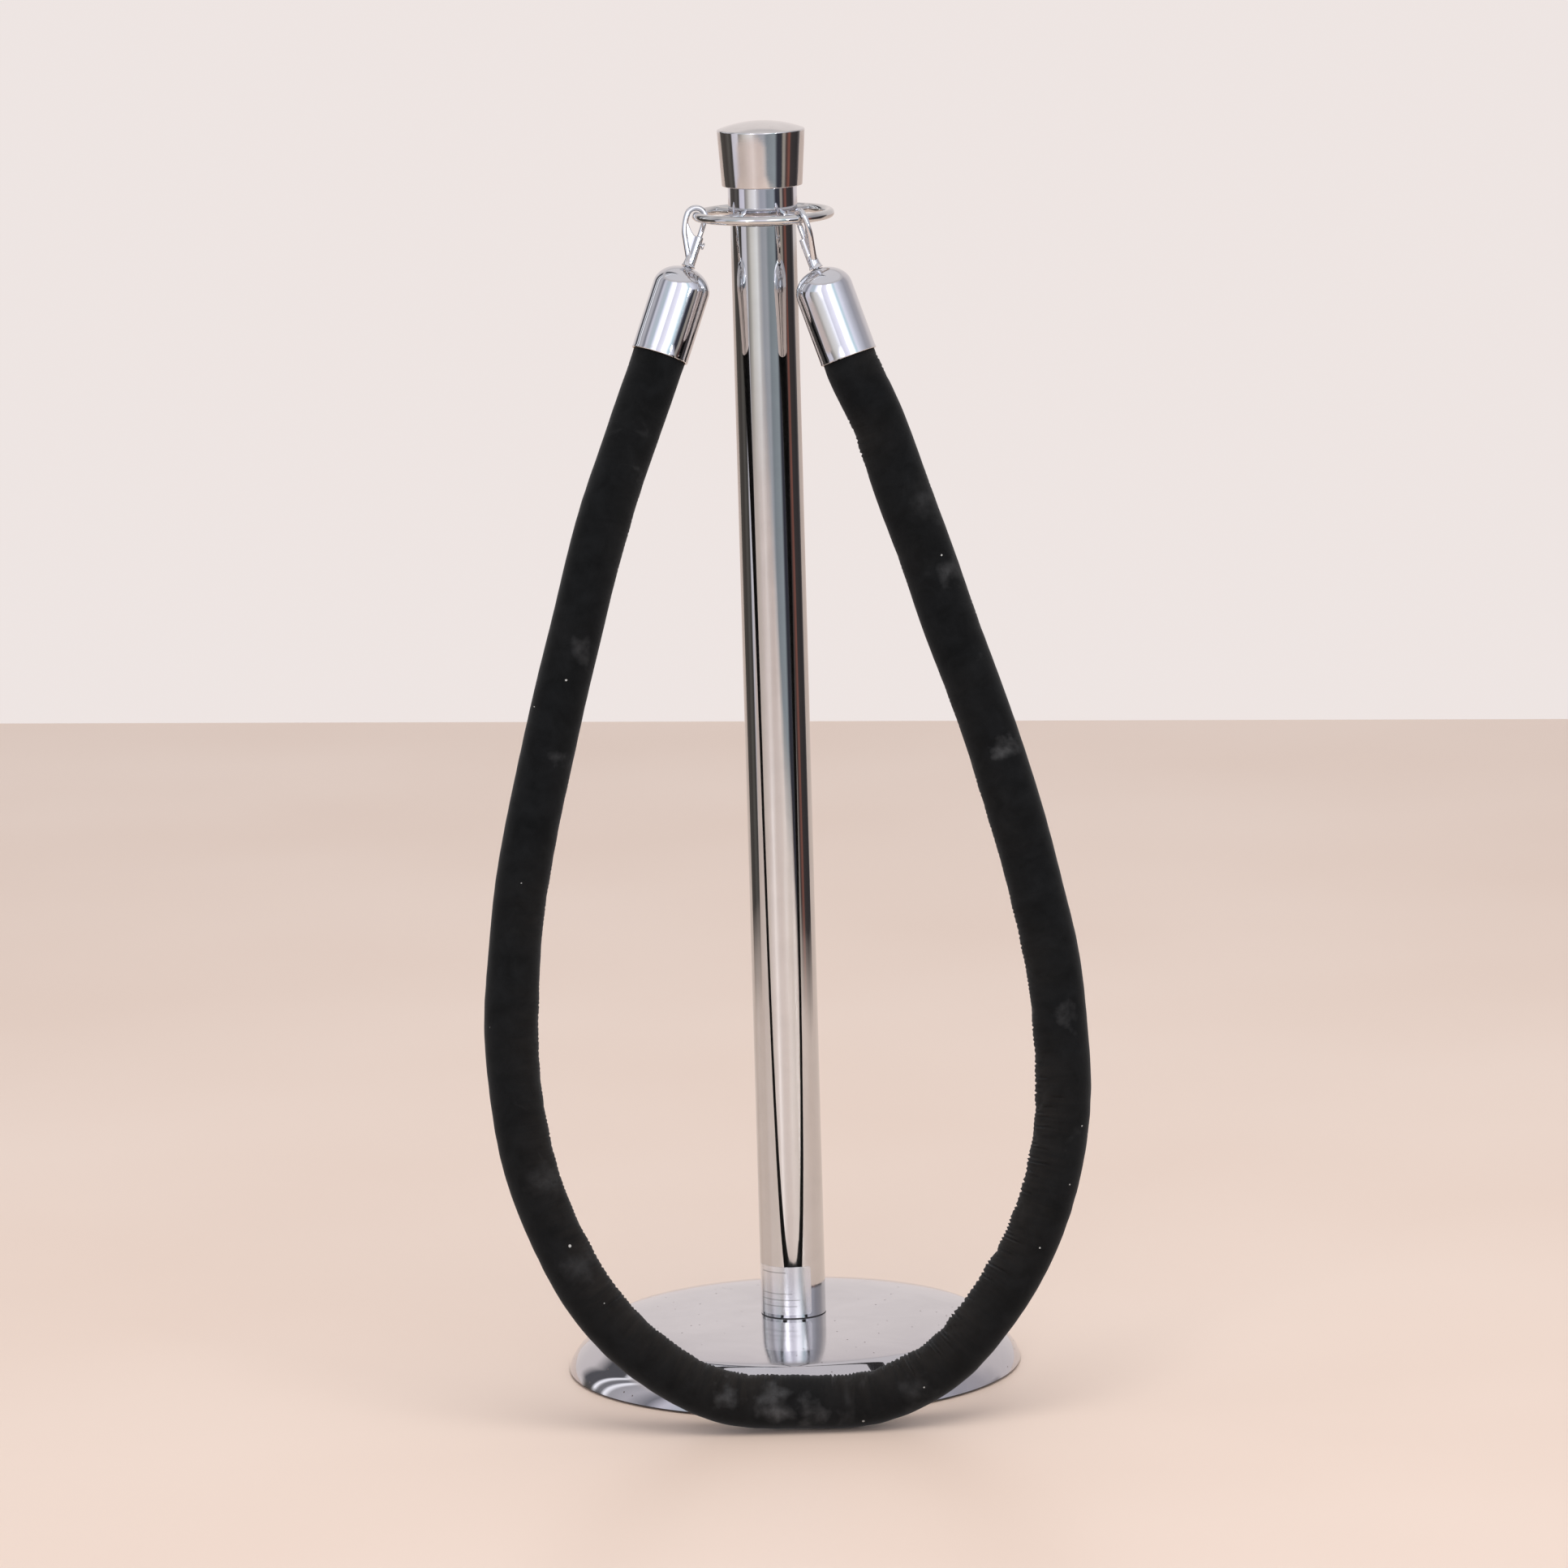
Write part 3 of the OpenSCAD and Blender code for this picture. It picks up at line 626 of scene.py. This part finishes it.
# Finishes as plain takes them: two colours, the grain's scale, the range of roughness, the metallic
# share and, if given, the depth and the stretch of the grain
HIDDEN_FINISHES = {
    "steel": ((0.42, 0.43, 0.45), (0.56, 0.57, 0.58), 260, (0.22, 0.38), 1.0),
    "spring_steel": ((0.36, 0.37, 0.39), (0.5, 0.5, 0.52), 900, (0.2, 0.34), 1.0),
    "iron": ((0.045, 0.043, 0.042), (0.11, 0.105, 0.1), 180, (0.6, 0.85), 0.4),
    "rubber": ((0.012, 0.012, 0.013), (0.03, 0.03, 0.032), 400, (0.65, 0.9), 0.0),
    "gasket": ((0.01, 0.01, 0.011), (0.026, 0.026, 0.028), 500, (0.5, 0.7), 0.0),
    "nylon": ((0.012, 0.012, 0.014), (0.028, 0.028, 0.03), 300, (0.35, 0.5), 0.0),
    "cotton": ((0.36, 0.31, 0.23), (0.55, 0.48, 0.38), 700, (0.8, 0.95), 0.0),
    "plug_wood": ((0.36, 0.2, 0.09), (0.58, 0.38, 0.2), 90, (0.45, 0.65), 0.0, 0.0001, (1, 1, 0.12)),
}


def finish_cad_nodes():
    """Gives each CAD node that is shown as it is the finish of its material slot."""
    made = {name: plain(name, *look) for name, look in HIDDEN_FINISHES.items()}
    made["chrome_base"] = made["steel"]
    slots = {part["node"]: part["material_slot"] for part in frame["record"]["subparts"]}
    for name, obj in frame["nodes"].items():
        obj.data.materials.clear()
        obj.data.materials.append(made.get(slots[name], made["steel"]))


# ---- post and base ----

def dome_z(r, drop):
    """Height of the base's dome at radius r, less drop: nearly level, then falling to the shoulder."""
    t = (r - SEAT_R) / (BASE_R - EDGE_W - SEAT_R)
    return BASE_H - drop - (BASE_H - SHOULDER_Z) * (0.12 * t + 0.88 * t**5)


def base_skirt(inset, n):
    """The base's skirt: a cone below the shoulder, then an arc that turns down to the rim."""
    shoulder, drop = BASE_R - EDGE_W, SHOULDER_Z - RIM_LOW
    cs, sn = math.cos(math.radians(EDGE_SLOPE)), math.sin(math.radians(EDGE_SLOPE))
    wide, tall = math.sin(math.radians(RIM_SLOPE)) - sn, cs - math.cos(math.radians(RIM_SLOPE))
    r = (drop * cs - EDGE_W * sn) / (tall * cs - wide * sn)
    cone = (EDGE_W - wide * r) / cs
    cx, cz = shoulder + cone * cs - r * sn, SHOULDER_Z - cone * sn - r * cs
    turn = [math.radians(90 - EDGE_SLOPE - (RIM_SLOPE - EDGE_SLOPE) * k / n) for k in range(n + 1)]
    return [(cx + (r - inset) * math.cos(a), cz + (r - inset) * math.sin(a)) for a in turn]


def make_base():
    """The base cover: a thin shell with a domed top and a sloped skirt."""
    hole = 6.6                                          # for the base bolt
    shoulder, ease, lead = BASE_R - EDGE_W, 3.6, 3.9    # the dome's last point is lead before the shoulder
    dome = [SEAT_R + (shoulder - lead - SEAT_R) * k / 36 for k in range(37)]
    top = [(hole, BASE_H, 0)] + [(r, dome_z(r, 0), 0) for r in dome] + [(shoulder, SHOULDER_Z, ease)]
    skirt = [(*p, 0) for p in base_skirt(0, 24)]
    inside = [(hole, BASE_H - COVER_T)] + [(r, dome_z(r, COVER_T)) for r in dome] + base_skirt(COVER_T, 24)
    outline = eased(top + skirt + [(*p, 0) for p in inside[::-1]], 8)
    base = lathe("base_cover_fine", outline, 320, 30)
    return dressed(base, base_chrome(), "post", ["base_cover"])


def make_tube():
    outer = [(TUBE_R, TUBE_Z, 0.3), (TUBE_R, TUBE_TOP, 0.3)]
    bore = [(BORE_R, TUBE_TOP, 0.2), (BORE_R, TUBE_Z, 0.2)]
    tube = lathe("post_tube_fine", cut_long(eased(outer + bore), 30), 192)
    return dressed(tube, chrome("chrome_tube", along=(1, 1, 0.02)), "post", ["post_tube"])


def make_label():
    """Foil label wrapped on the tube, with rounded corners."""
    bm = bmesh.new()
    uv = bm.loops.layers.uv.new("UVMap")
    columns, rows, corner = 96, 30, 2.2
    wide = math.radians(LABEL_TO - LABEL_FROM) * TUBE_R
    skins = []
    for r in (TUBE_R + 0.02, TUBE_R + 0.15):
        skin = []
        for i in range(columns + 1):
            x = wide * i / columns
            side = min(x, wide - x)
            cut = corner - math.sqrt(max(0.0, corner**2 - (corner - side) ** 2)) if side < corner else 0.0
            a = math.radians(LABEL_FROM - 90) + x / TUBE_R
            skin.append([])
            for k in range(rows + 1):
                z = cut + (LABEL_H - 2 * cut) * k / rows
                v = bm.verts.new(Vector((r * math.cos(a), r * math.sin(a), LABEL_Z + z)) * MM)
                skin[-1].append((v, x * MM, z * MM))
        skins.append(skin)

    def face(*corners):
        made = bm.faces.new([c[0] for c in corners])
        for loop, c in zip(made.loops, corners):
            loop[uv].uv = c[1:]

    back, front = skins
    for i in range(columns):
        for k in range(rows):
            face(front[i][k], front[i + 1][k], front[i + 1][k + 1], front[i][k + 1])
            face(back[i][k], back[i][k + 1], back[i + 1][k + 1], back[i + 1][k])
        face(back[i][0], back[i + 1][0], front[i + 1][0], front[i][0])
        face(back[i][rows], front[i][rows], front[i + 1][rows], back[i + 1][rows])
    for k in range(rows):
        face(back[0][k], front[0][k], front[0][k + 1], back[0][k + 1])
        face(back[columns][k], back[columns][k + 1], front[columns][k + 1], front[columns][k])
    return dressed(mesh_object("foil_label", bm), foil(), "post", ["asset_label"])


def make_crown():
    """The crown: a flared shell under a low dome."""
    rise = CROWN_TOP - RIM_Z
    radii = [CROWN_R2 * k / 14 for k in range(15)]
    top = [(r, CROWN_TOP - rise * (r / CROWN_R2) ** 2, 0) for r in radii[:-1]] + [(CROWN_R2, RIM_Z, 1.1)]
    low = [
        (CROWN_R1, CROWN_Z, 0.6), (CROWN_R1 - CROWN_T, CROWN_Z, 0.3),
        (CROWN_R2 - CROWN_T, RIM_Z - 1.5, 1),
    ]
    under = [(r, CROWN_TOP - CROWN_T - rise * (r / CROWN_R2) ** 2, 0) for r in radii[-3::-1]]
    crown = lathe("crown_fine", cut_long(eased(top + low + under, 6), 12), 192)
    return dressed(crown, turned_chrome(), "post", ["crown"])


# ---- carry ring ----

def make_collar():
    """The sleeve that turns on the post and carries the ring."""
    outer = [(COLLAR_R, COLLAR_LOW, 0.4), (COLLAR_R, COLLAR_TOP, 0.4)]
    outline = eased(outer + [(NECK_R, COLLAR_TOP, 0), (NECK_R, COLLAR_LOW, 0)])
    collar = lathe("ring_collar_fine", outline, 160)
    tint = (0.73, 0.73, 0.78)
    return dressed(collar, chrome("chrome_ring", tint), "ring", ["ring_collar"])


def make_ring():
    """The carry ring: a torus with four spokes welded in, each weld with its own fillet."""
    around, sides = 224, 36
    bm = bmesh.new()
    verts = [
        [
            bm.verts.new(Vector((
                (RING_R + WIRE_R * math.cos(b)) * math.cos(a),
                (RING_R + WIRE_R * math.cos(b)) * math.sin(a),
                RING_Z + WIRE_R * math.sin(b),
            )) * MM)
            for b in (2 * math.pi * k / sides for k in range(sides))
        ]
        for a in (2 * math.pi * i / around for i in range(around))
    ]
    for i in range(around):
        for k in range(sides):
            j, n = (i + 1) % around, (k + 1) % sides
            bm.faces.new((verts[i][k], verts[j][k], verts[j][n], verts[i][n]))
    ring = mesh_object("carry_ring_fine", bm)
    spoke = bmesh.new()
    near, far = COLLAR_R - 0.3, RING_R
    bare = far - 3.2 - near                             # about the length between collar and wire
    outline = [(0, near)] + [
        (
            SPOKE_R + 1.3 * math.exp(-t * bare / 1.5) + 0.45 * math.exp(-(1 - t) * bare / 1.1),
            near + t * bare,
        )
        for t in (k / 24 for k in range(25))
    ] + [(SPOKE_R, far), (0, far)]
    for a in (45, 135, 225, 315):
        turn = Matrix.Rotation(math.radians(a), 4, "Z") @ Matrix.Rotation(math.radians(90), 4, "Y")
        spin(spoke, outline, 32, Matrix.Translation((0, 0, RING_Z * MM)) @ turn)
    cutter = mesh_object("spokes", spoke)
    join = ring.modifiers.new("join", "BOOLEAN")
    join.operation, join.object, join.solver = "UNION", cutter, "EXACT"
    with_modifiers(ring)
    bpy.data.objects.remove(cutter)
    ring.data.shade_smooth()
    ring.data.set_sharp_from_angle(angle=math.radians(60))
    return dressed(ring, chrome("chrome_ring_wire"), "ring", ["carry_ring"])


# ---- rope ends ----

def cap_dome(radius, height):
    """A cap's dome from its stud hole to its side, as (radius, height) points below its top."""
    angles = [math.radians(90 * (1 - k / 18)) for k in range(19)]
    return [(max(STUD_R, radius * math.cos(a)), -CAP_DOME + height * math.sin(a)) for a in angles]


def make_cap(side, material):
    """End cap: a thin cup with a domed top and a rolled bead at its open end."""
    out = cap_dome(CAP_R, CAP_DOME)
    bead = [(CAP_R + dr, -CAP_H + dz) for dr, dz in ((0, 2.2), (0.12, 1.4), (0.1, 0.4), (-0.25, 0))]
    back = cap_dome(CAP_R - CAP_T, CAP_DOME - CAP_T)
    skirt = [(CAP_R - CAP_T, -CAP_H)]
    cap = lathe(side + "_end_cap_fine", cut_long(out + bead + skirt + back[::-1], 8), 144)
    cap.matrix_world = cap_axes(side)
    return dressed(cap, material, "rope", [side + "_end_cap"])


def hook_line():
    """Middle line of the snap hook from its foot to its nose, and the bar's radius along it."""
    sweep_r, sweep = 40, math.radians(21.5)
    left = -ARCH_X - ARCH_R
    knee = Vector((left + sweep_r * (1 - math.cos(sweep)), 0, ARCH_Z - sweep_r * math.sin(sweep)))
    foot = Vector((-0.6, 0, 5))
    line = [foot.lerp(knee, k / 8) for k in range(8)]
    for k in range(10):
        a = math.pi + sweep * (1 - k / 10)
        line.append(Vector((left + sweep_r + sweep_r * math.cos(a), 0, ARCH_Z + sweep_r * math.sin(a))))
    line += [
        Vector((-ARCH_X + ARCH_R * math.cos(a), 0, ARCH_Z + ARCH_R * math.sin(a)))
        for a in (math.pi * (1 - k / 28) for k in range(29))
    ]
    line.append(Vector((-ARCH_X + ARCH_R, 0, NOSE_Z + 1.0)))
    size = [BAR_R + 0.22 * max(0, 1 - k / 16) for k in range(len(line))]
    return line, size


def web_plate(bm):
    """Web that fills the crook between the shank and the barrel."""
    left, half = -ARCH_X - ARCH_R, 1.9                  # the shank's middle, and half the web's thickness
    rim = [
        (left + 1.0, ARCH_Z - 4), (left + 4.2, ARCH_Z - 8), (left + 6.6, ARCH_Z - 11),
        (BOLT_X - 4.6, BARREL_TOP + 0.2), (BOLT_X - 2.4, BARREL_TOP - 0.6),
        (0, 6), (-0.6, 5), (left + 2.8, ARCH_Z - 14.7),
    ]
    sides = [[bm.verts.new(Vector((x, y, z)) * MM) for x, z in rim] for y in (-half, half)]
    bm.faces.new(sides[0])
    bm.faces.new(sides[1][::-1])
    for i, a in enumerate(sides[0]):
        j = (i + 1) % len(rim)
        bm.faces.new((a, sides[1][i], sides[1][j], sides[0][j]))


def hook_body():
    """The hook before it is melted and cut: bar, web, flat-sided barrel and flared foot."""
    bm = bmesh.new()
    line, size = hook_line()
    tube_along(bm, line, size)
    web_plate(bm)
    barrel = [(0, 3)] + eased([(1, 3, 0), (1, BARREL_TOP, 0.12), (0, BARREL_TOP, 0)])
    wide = Matrix.Translation((BOLT_X * MM, 0, 0)) @ Matrix.Diagonal((BARREL_R, BARREL_W, 1, 1))
    spin(bm, barrel, 48, wide)
    foot = [
        (0, 0.3), (5.75, 0.3), (5.6, 0.7), (5.1, 1.5), (4.7, 2.6), (4.45, 4), (4.2, 6), (3.9, 8.2),
        (3.4, 10.5), (0, 10.5),
    ]
    spin(bm, foot, 48)
    return bm


def hook_cuts():
    """What is cut out of a hook: the bolt's chamber, the seat of the swivel stud and the knob's slot."""
    bm = bmesh.new()
    bore = [(0, CHAMBER_Z), (CHAMBER_R, CHAMBER_Z), (CHAMBER_R, CHAMBER_TOP), (0, CHAMBER_TOP)]
    spin(bm, bore, 40, Matrix.Translation((BOLT_X * MM, 0, 0)))
    stem = [(0, -1), (STUD_R, -1), (STUD_R, STUD_SEAT)]
    spin(bm, stem + [(STUD_HEAD_R, STUD_SEAT), (STUD_HEAD_R, STUD_TOP), (0, STUD_TOP)], 40)
    deep, tall = 6.5, 18
    slot = [
        (BOLT_X + deep * i, SLOT_WIDE * j, SLOT_LOW + k * tall)
        for i in (0, 1) for j in (-1, 1) for k in (0, 1)
    ]
    corners = [bm.verts.new(Vector(p) * MM) for p in slot]
    for quad in ((0, 1, 3, 2), (4, 6, 7, 5), (0, 4, 5, 1), (2, 3, 7, 6), (0, 2, 6, 4), (1, 5, 7, 3)):
        bm.faces.new([corners[q] for q in quad])
    return mesh_object("cuts", bm)


def make_hook(side, material):
    """Cast hook: its parts are melted into one another, then its chamber, seat and slot are cut."""
    hook = mesh_object(side + "_snap_hook_fine", hook_body())
    melt = hook.modifiers.new("melt", "REMESH")
    melt.mode, melt.voxel_size = "VOXEL", 0.00024
    calm = hook.modifiers.new("calm", "CORRECTIVE_SMOOTH")
    calm.smooth_type, calm.factor, calm.iterations, calm.use_only_smooth = "SIMPLE", 0.6, 12, True
    cutter = hook_cuts()
    carve = hook.modifiers.new("carve", "BOOLEAN")
    carve.operation, carve.object, carve.solver, carve.use_self = "DIFFERENCE", cutter, "EXACT", True
    with_modifiers(hook)
    bpy.data.objects.remove(cutter)
    hook.data.shade_smooth()
    hook.data.set_sharp_from_angle(angle=math.radians(38))
    hook.matrix_world = cap_axes(side, SNAP_TURN[side])
    return dressed(hook, material, side + "_snap", [side + "_snap_hook"])


def make_bolt(side, material):
    """Sliding bolt: piston and pin in the barrel, with a dished thumb knob through the slot."""
    bm = bmesh.new()
    tip, piston_top = NOSE_Z - 0.3, 24.5
    piston = CHAMBER_R - 0.05
    pin = eased([
        (piston, PISTON_Z, 0.2), (piston, piston_top, 0.2), (BOLT_R, piston_top, 0),
        (BOLT_R, tip, 1.3), (0, tip, 0), (0, PISTON_Z, 0),
    ])
    spin(bm, pin, 32, Matrix.Translation((BOLT_X * MM, 0, 0)))
    reach = BARREL_R + 0.4
    stem = [
        (0, 0.5), (1.3, 0.5), (1.3, reach - 0.1), (2.0, reach), (2.6, reach + 0.3), (KNOB_R, reach + 0.85),
        (2.75, reach + 1.35), (2.4, reach + 1.75), (1.9, reach + 1.85), (1.2, reach + 1.6), (0, reach + 1.4),
    ]
    place = Matrix.Translation((BOLT_X * MM, 0, KNOB_Z * MM)) @ Matrix.Rotation(math.radians(90), 4, "Y")
    spin(bm, stem, 40, place)
    bolt = mesh_object(side + "_snap_bolt_fine", bm)
    bolt.matrix_world = cap_axes(side, SNAP_TURN[side])
    return dressed(bolt, material, side + "_bolt", [side + "_snap_bolt"])


# ---- stage ----

def floor_finish(name):
    """Pale stone, softly mottled."""
    material, tree, shader = fresh(name)
    where = place_of(tree)
    cloud = noise(tree, where, 1.6, 2, 0.4)
    put(
        tree, shader, Base_Color=ramp(tree, cloud, (0.3, (0.80, 0.655, 0.555)), (0.7, (0.77, 0.62, 0.52))),
        Roughness=spread(tree, cloud, 0.3, 0.7, 0.36, 0.44), Specular_IOR_Level=0.4,
    )
    return material, tree, shader


def bearing(tree, x, y):
    """Direction round the post as 0 to 1: a half is the camera's side, and it grows towards +X."""
    azimuth = math_of(tree, "ARCTAN2", x, math_of(tree, "MULTIPLY", y, -1.0))
    return spread(tree, azimuth, -math.pi, math.pi, 0, 1)


def around(tree, turn, table):
    """The table's colour in the direction turn, which bearing gives."""
    return ramp(tree, turn, *((0.5 + a / 360, c) for a, c in table))


def slab(name, x, near, far, z, skew=0.0):
    """Flat piece of floor from y = near to y = far, with its far edge turned by skew."""
    bm = bmesh.new()
    corners = ((-x, near, z), (x, near, z), (x, far - skew * x, z), (-x, far + skew * x, z))
    bm.faces.new([bm.verts.new(v) for v in corners])
    return mesh_object(name, bm)


def make_floor():
    """The floor that is seen, and just under it the one that lights and is mirrored in the object.

    Far from the post the second one takes the tones of what stands round the room.
    """
    seen = slab("floor", 6, -12, 3.07, 0, 0.165)
    seen.visible_diffuse = seen.visible_glossy = seen.visible_shadow = seen.visible_transmission = False
    seen.data.materials.append(floor_finish("floor")[0])
    mirrored = slab("floor_mirrored", 12, -12, 9, -0.0005)
    mirrored.visible_camera = False
    material, tree, shader = floor_finish("floor_mirrored")
    x, y, _ = node(tree, "SeparateXYZ", {0: place_of(tree)}).outputs
    away = length_of(tree, x, y)
    turn = bearing(tree, x, y)
    starts = math_of(tree, "MULTIPLY", around(tree, turn, FLOOR_ENDS), 10.0)
    far = spread(tree, math_of(tree, "DIVIDE", away, starts), 0.85, 1.2, 0, 1)
    glow = node(tree, "Emission", {"Color": around(tree, turn, ROOM)})
    both = node(tree, "MixShader", {0: far, 1: shader.outputs[0], 2: glow.outputs[0]})
    tree.links.new(both.outputs[0], tree.nodes["Material Output"].inputs[0])
    mirrored.data.materials.append(material)


# How bright the room is round the object, by the direction seen: degrees from the camera's side
# towards +X, and a linear colour. The first is the room at eye level, the second the windows.
ROOM = (
    (-180, (0.84, 0.76, 0.74)), (-140, (0.80, 0.73, 0.71)), (-134, (0.10, 0.09, 0.08)),
    (-112, (0.07, 0.06, 0.055)), (-100, (0.12, 0.11, 0.10)), (-87, (0.055, 0.05, 0.045)),
    (-83, (0.72, 0.69, 0.76)), (-66, (0.80, 0.77, 0.84)), (-62, (0.30, 0.28, 0.27)),
    (-54, (0.50, 0.47, 0.43)), (-46, (0.80, 0.76, 0.72)), (-26, (1.0, 0.98, 0.98)),
    (-18, (0.62, 0.60, 0.61)), (-8, (0.42, 0.43, 0.47)), (6, (0.46, 0.47, 0.51)),
    (14, (0.28, 0.31, 0.34)), (36, (0.34, 0.38, 0.41)), (43, (0.045, 0.045, 0.06)),
    (57, (0.05, 0.05, 0.06)), (60, (0.40, 0.36, 0.31)), (67, (0.36, 0.31, 0.28)),
    (70, (0.05, 0.045, 0.045)), (82, (0.28, 0.11, 0.085)), (86, (0.06, 0.05, 0.05)),
    (112, (0.045, 0.04, 0.042)), (122, (0.16, 0.14, 0.14)), (127, (0.74, 0.67, 0.66)),
    (180, (0.84, 0.76, 0.74)),
)
WINDOWS = (
    (-180, (0.86, 0.79, 0.77)), (-146, (0.78, 0.72, 0.71)), (-138, (0.10, 0.10, 0.11)),
    (-128, (0.10, 0.10, 0.11)), (-125, (1.5, 1.5, 1.55)), (-122, (0.22, 0.22, 0.23)),
    (-118, (0.26, 0.26, 0.28)), (-115, (1.5, 1.5, 1.55)), (-111, (0.50, 0.49, 0.51)),
    (-98, (0.60, 0.58, 0.61)), (-84, (0.24, 0.24, 0.27)), (-74, (0.80, 0.78, 0.86)),
    (-62, (0.62, 0.66, 0.72)), (-47, (0.62, 0.70, 0.76)), (-36, (1.35, 1.32, 1.48)),
    (-20, (2.0, 2.0, 2.15)), (-14, (0.95, 0.93, 1.06)), (4, (1.2, 1.17, 1.3)), (12, (2.2, 2.2, 2.3)),
    (26, (1.5, 1.55, 1.65)), (34, (0.7, 0.9, 0.96)), (46, (1.0, 1.0, 1.12)), (62, (0.72, 0.72, 0.80)),
    (88, (0.44, 0.43, 0.47)), (112, (0.50, 0.47, 0.49)), (130, (0.74, 0.68, 0.67)),
    (180, (0.86, 0.79, 0.77)),
)
# The ceiling over the object, with a dark opening and strip lights behind it to the left
CEILING = (
    (-180, (0.80, 0.76, 0.76)), (-146, (0.78, 0.74, 0.74)), (-140, (0.10, 0.10, 0.11)),
    (-126, (0.09, 0.09, 0.10)), (-124, (1.5, 1.5, 1.55)), (-121, (0.18, 0.18, 0.19)),
    (-117, (0.30, 0.30, 0.32)), (-115, (1.6, 1.6, 1.65)), (-112, (0.40, 0.40, 0.42)),
    (-107, (0.55, 0.54, 0.56)), (-105, (1.6, 1.6, 1.65)), (-101, (0.76, 0.74, 0.76)),
    (180, (0.80, 0.76, 0.76)),
)
# How far the pale floor reaches, in tens of metres, by the direction
FLOOR_ENDS = (
    (-180, 0.9), (-138, 0.9), (-132, 0.16), (-88, 0.17), (-82, 0.3), (-60, 0.55), (-10, 0.55), (2, 0.45),
    (14, 0.33), (22, 0.27), (42, 0.24), (50, 0.17), (100, 0.15), (118, 0.16), (128, 0.9), (180, 0.9),
)


def make_world():
    """Soft studio surroundings: a plain pale backdrop, and for reflections a banded room with windows."""
    world = bpy.data.worlds.new("studio")
    world.use_nodes = True
    bpy.context.scene.world = world
    tree = world.node_tree
    tree.nodes.clear()
    ray = node(tree, "SeparateXYZ", {0: node(tree, "TexCoord").outputs["Generated"]})
    x, y, z = ray.outputs
    turn = bearing(tree, x, y)
    height = math_of(tree, "MULTIPLY", math_of(tree, "ARCSINE", z), 180 / math.pi)
    room = around(tree, turn, ROOM)
    panes = around(tree, turn, WINDOWS)
    plain_ceiling = mixed(tree, spread(tree, height, 42, 70, 0, 1), (0.66, 0.62, 0.62), (0.86, 0.82, 0.82))
    ceiling = mixed(tree, spread(tree, height, 44, 50, 0, 1), plain_ceiling, around(tree, turn, CEILING))
    low = mixed(tree, spread(tree, height, 2, 8, 0, 1), room, panes)
    high = mixed(tree, spread(tree, height, 36, 41, 0, 1), low, ceiling)
    seen = node(tree, "LightPath").outputs["Is Camera Ray"]
    shown = mixed(tree, seen, high, (0.855, 0.785, 0.765))
    back = node(tree, "Background", {"Color": shown, "Strength": 1.0})
    out = node(tree, "OutputWorld")
    tree.links.new(back.outputs[0], out.inputs[0])


def card(name, where, size, strength, tint):
    """A bright card that only reflections and light see."""
    bm = bmesh.new()
    bmesh.ops.create_grid(bm, x_segments=1, y_segments=1, size=0.5)
    obj = mesh_object(name, bm)
    target = Vector((0, 0, 0.8))
    obj.matrix_world = (
        Matrix.Translation(where)
        @ (Vector(where) - target).to_track_quat("Z", "Y").to_matrix().to_4x4()
        @ Matrix.Diagonal((*size, 1, 1))
    )
    obj.visible_camera = False
    material, tree, _ = fresh(name)
    glow = node(tree, "Emission", {"Color": (*tint, 1), "Strength": strength})
    tree.links.new(glow.outputs[0], tree.nodes["Material Output"].inputs[0])
    obj.data.materials.append(material)


def lamp(name, where, size, power, tint):
    light = bpy.data.lights.new(name, "AREA")
    light.shape, light.size, light.energy, light.color = "DISK", size, power, tint
    obj = bpy.data.objects.new(name, light)
    aim = Vector((0, 0, 0.4)) - Vector(where)
    obj.matrix_world = Matrix.Translation(where) @ aim.to_track_quat("-Z", "Y").to_matrix().to_4x4()
    obj.visible_glossy = False
    bpy.context.scene.collection.objects.link(obj)


def make_stage():
    make_floor()
    make_world()
    card("lamp_left", (-2.6, -5.3, 1.75), (0.55, 0.35), 22, (1, 0.99, 1))
    card("lamp_right", (3.7, -4.5, 1.75), (0.5, 0.35), 22, (1, 0.99, 1))
    lamp("overhead", (0.3, -1.4, 3.6), 2.6, 62, (1, 0.985, 0.97))
    bpy.context.scene.view_settings.view_transform = "Standard"


make_camera()
make_rope()
make_stage()
finish_cad_nodes()
make_base()
make_tube()
make_label()
make_crown()
make_collar()
make_ring()
cap_chrome = chrome("chrome_cap", (0.71, 0.72, 0.76))
snap_chrome = chrome("chrome_snap", (0.76, 0.77, 0.80), (0.05, 0.12), 0.00012)
for side in SIDES:
    make_cap(side, cap_chrome)
    make_hook(side, snap_chrome)
    make_bolt(side, snap_chrome)
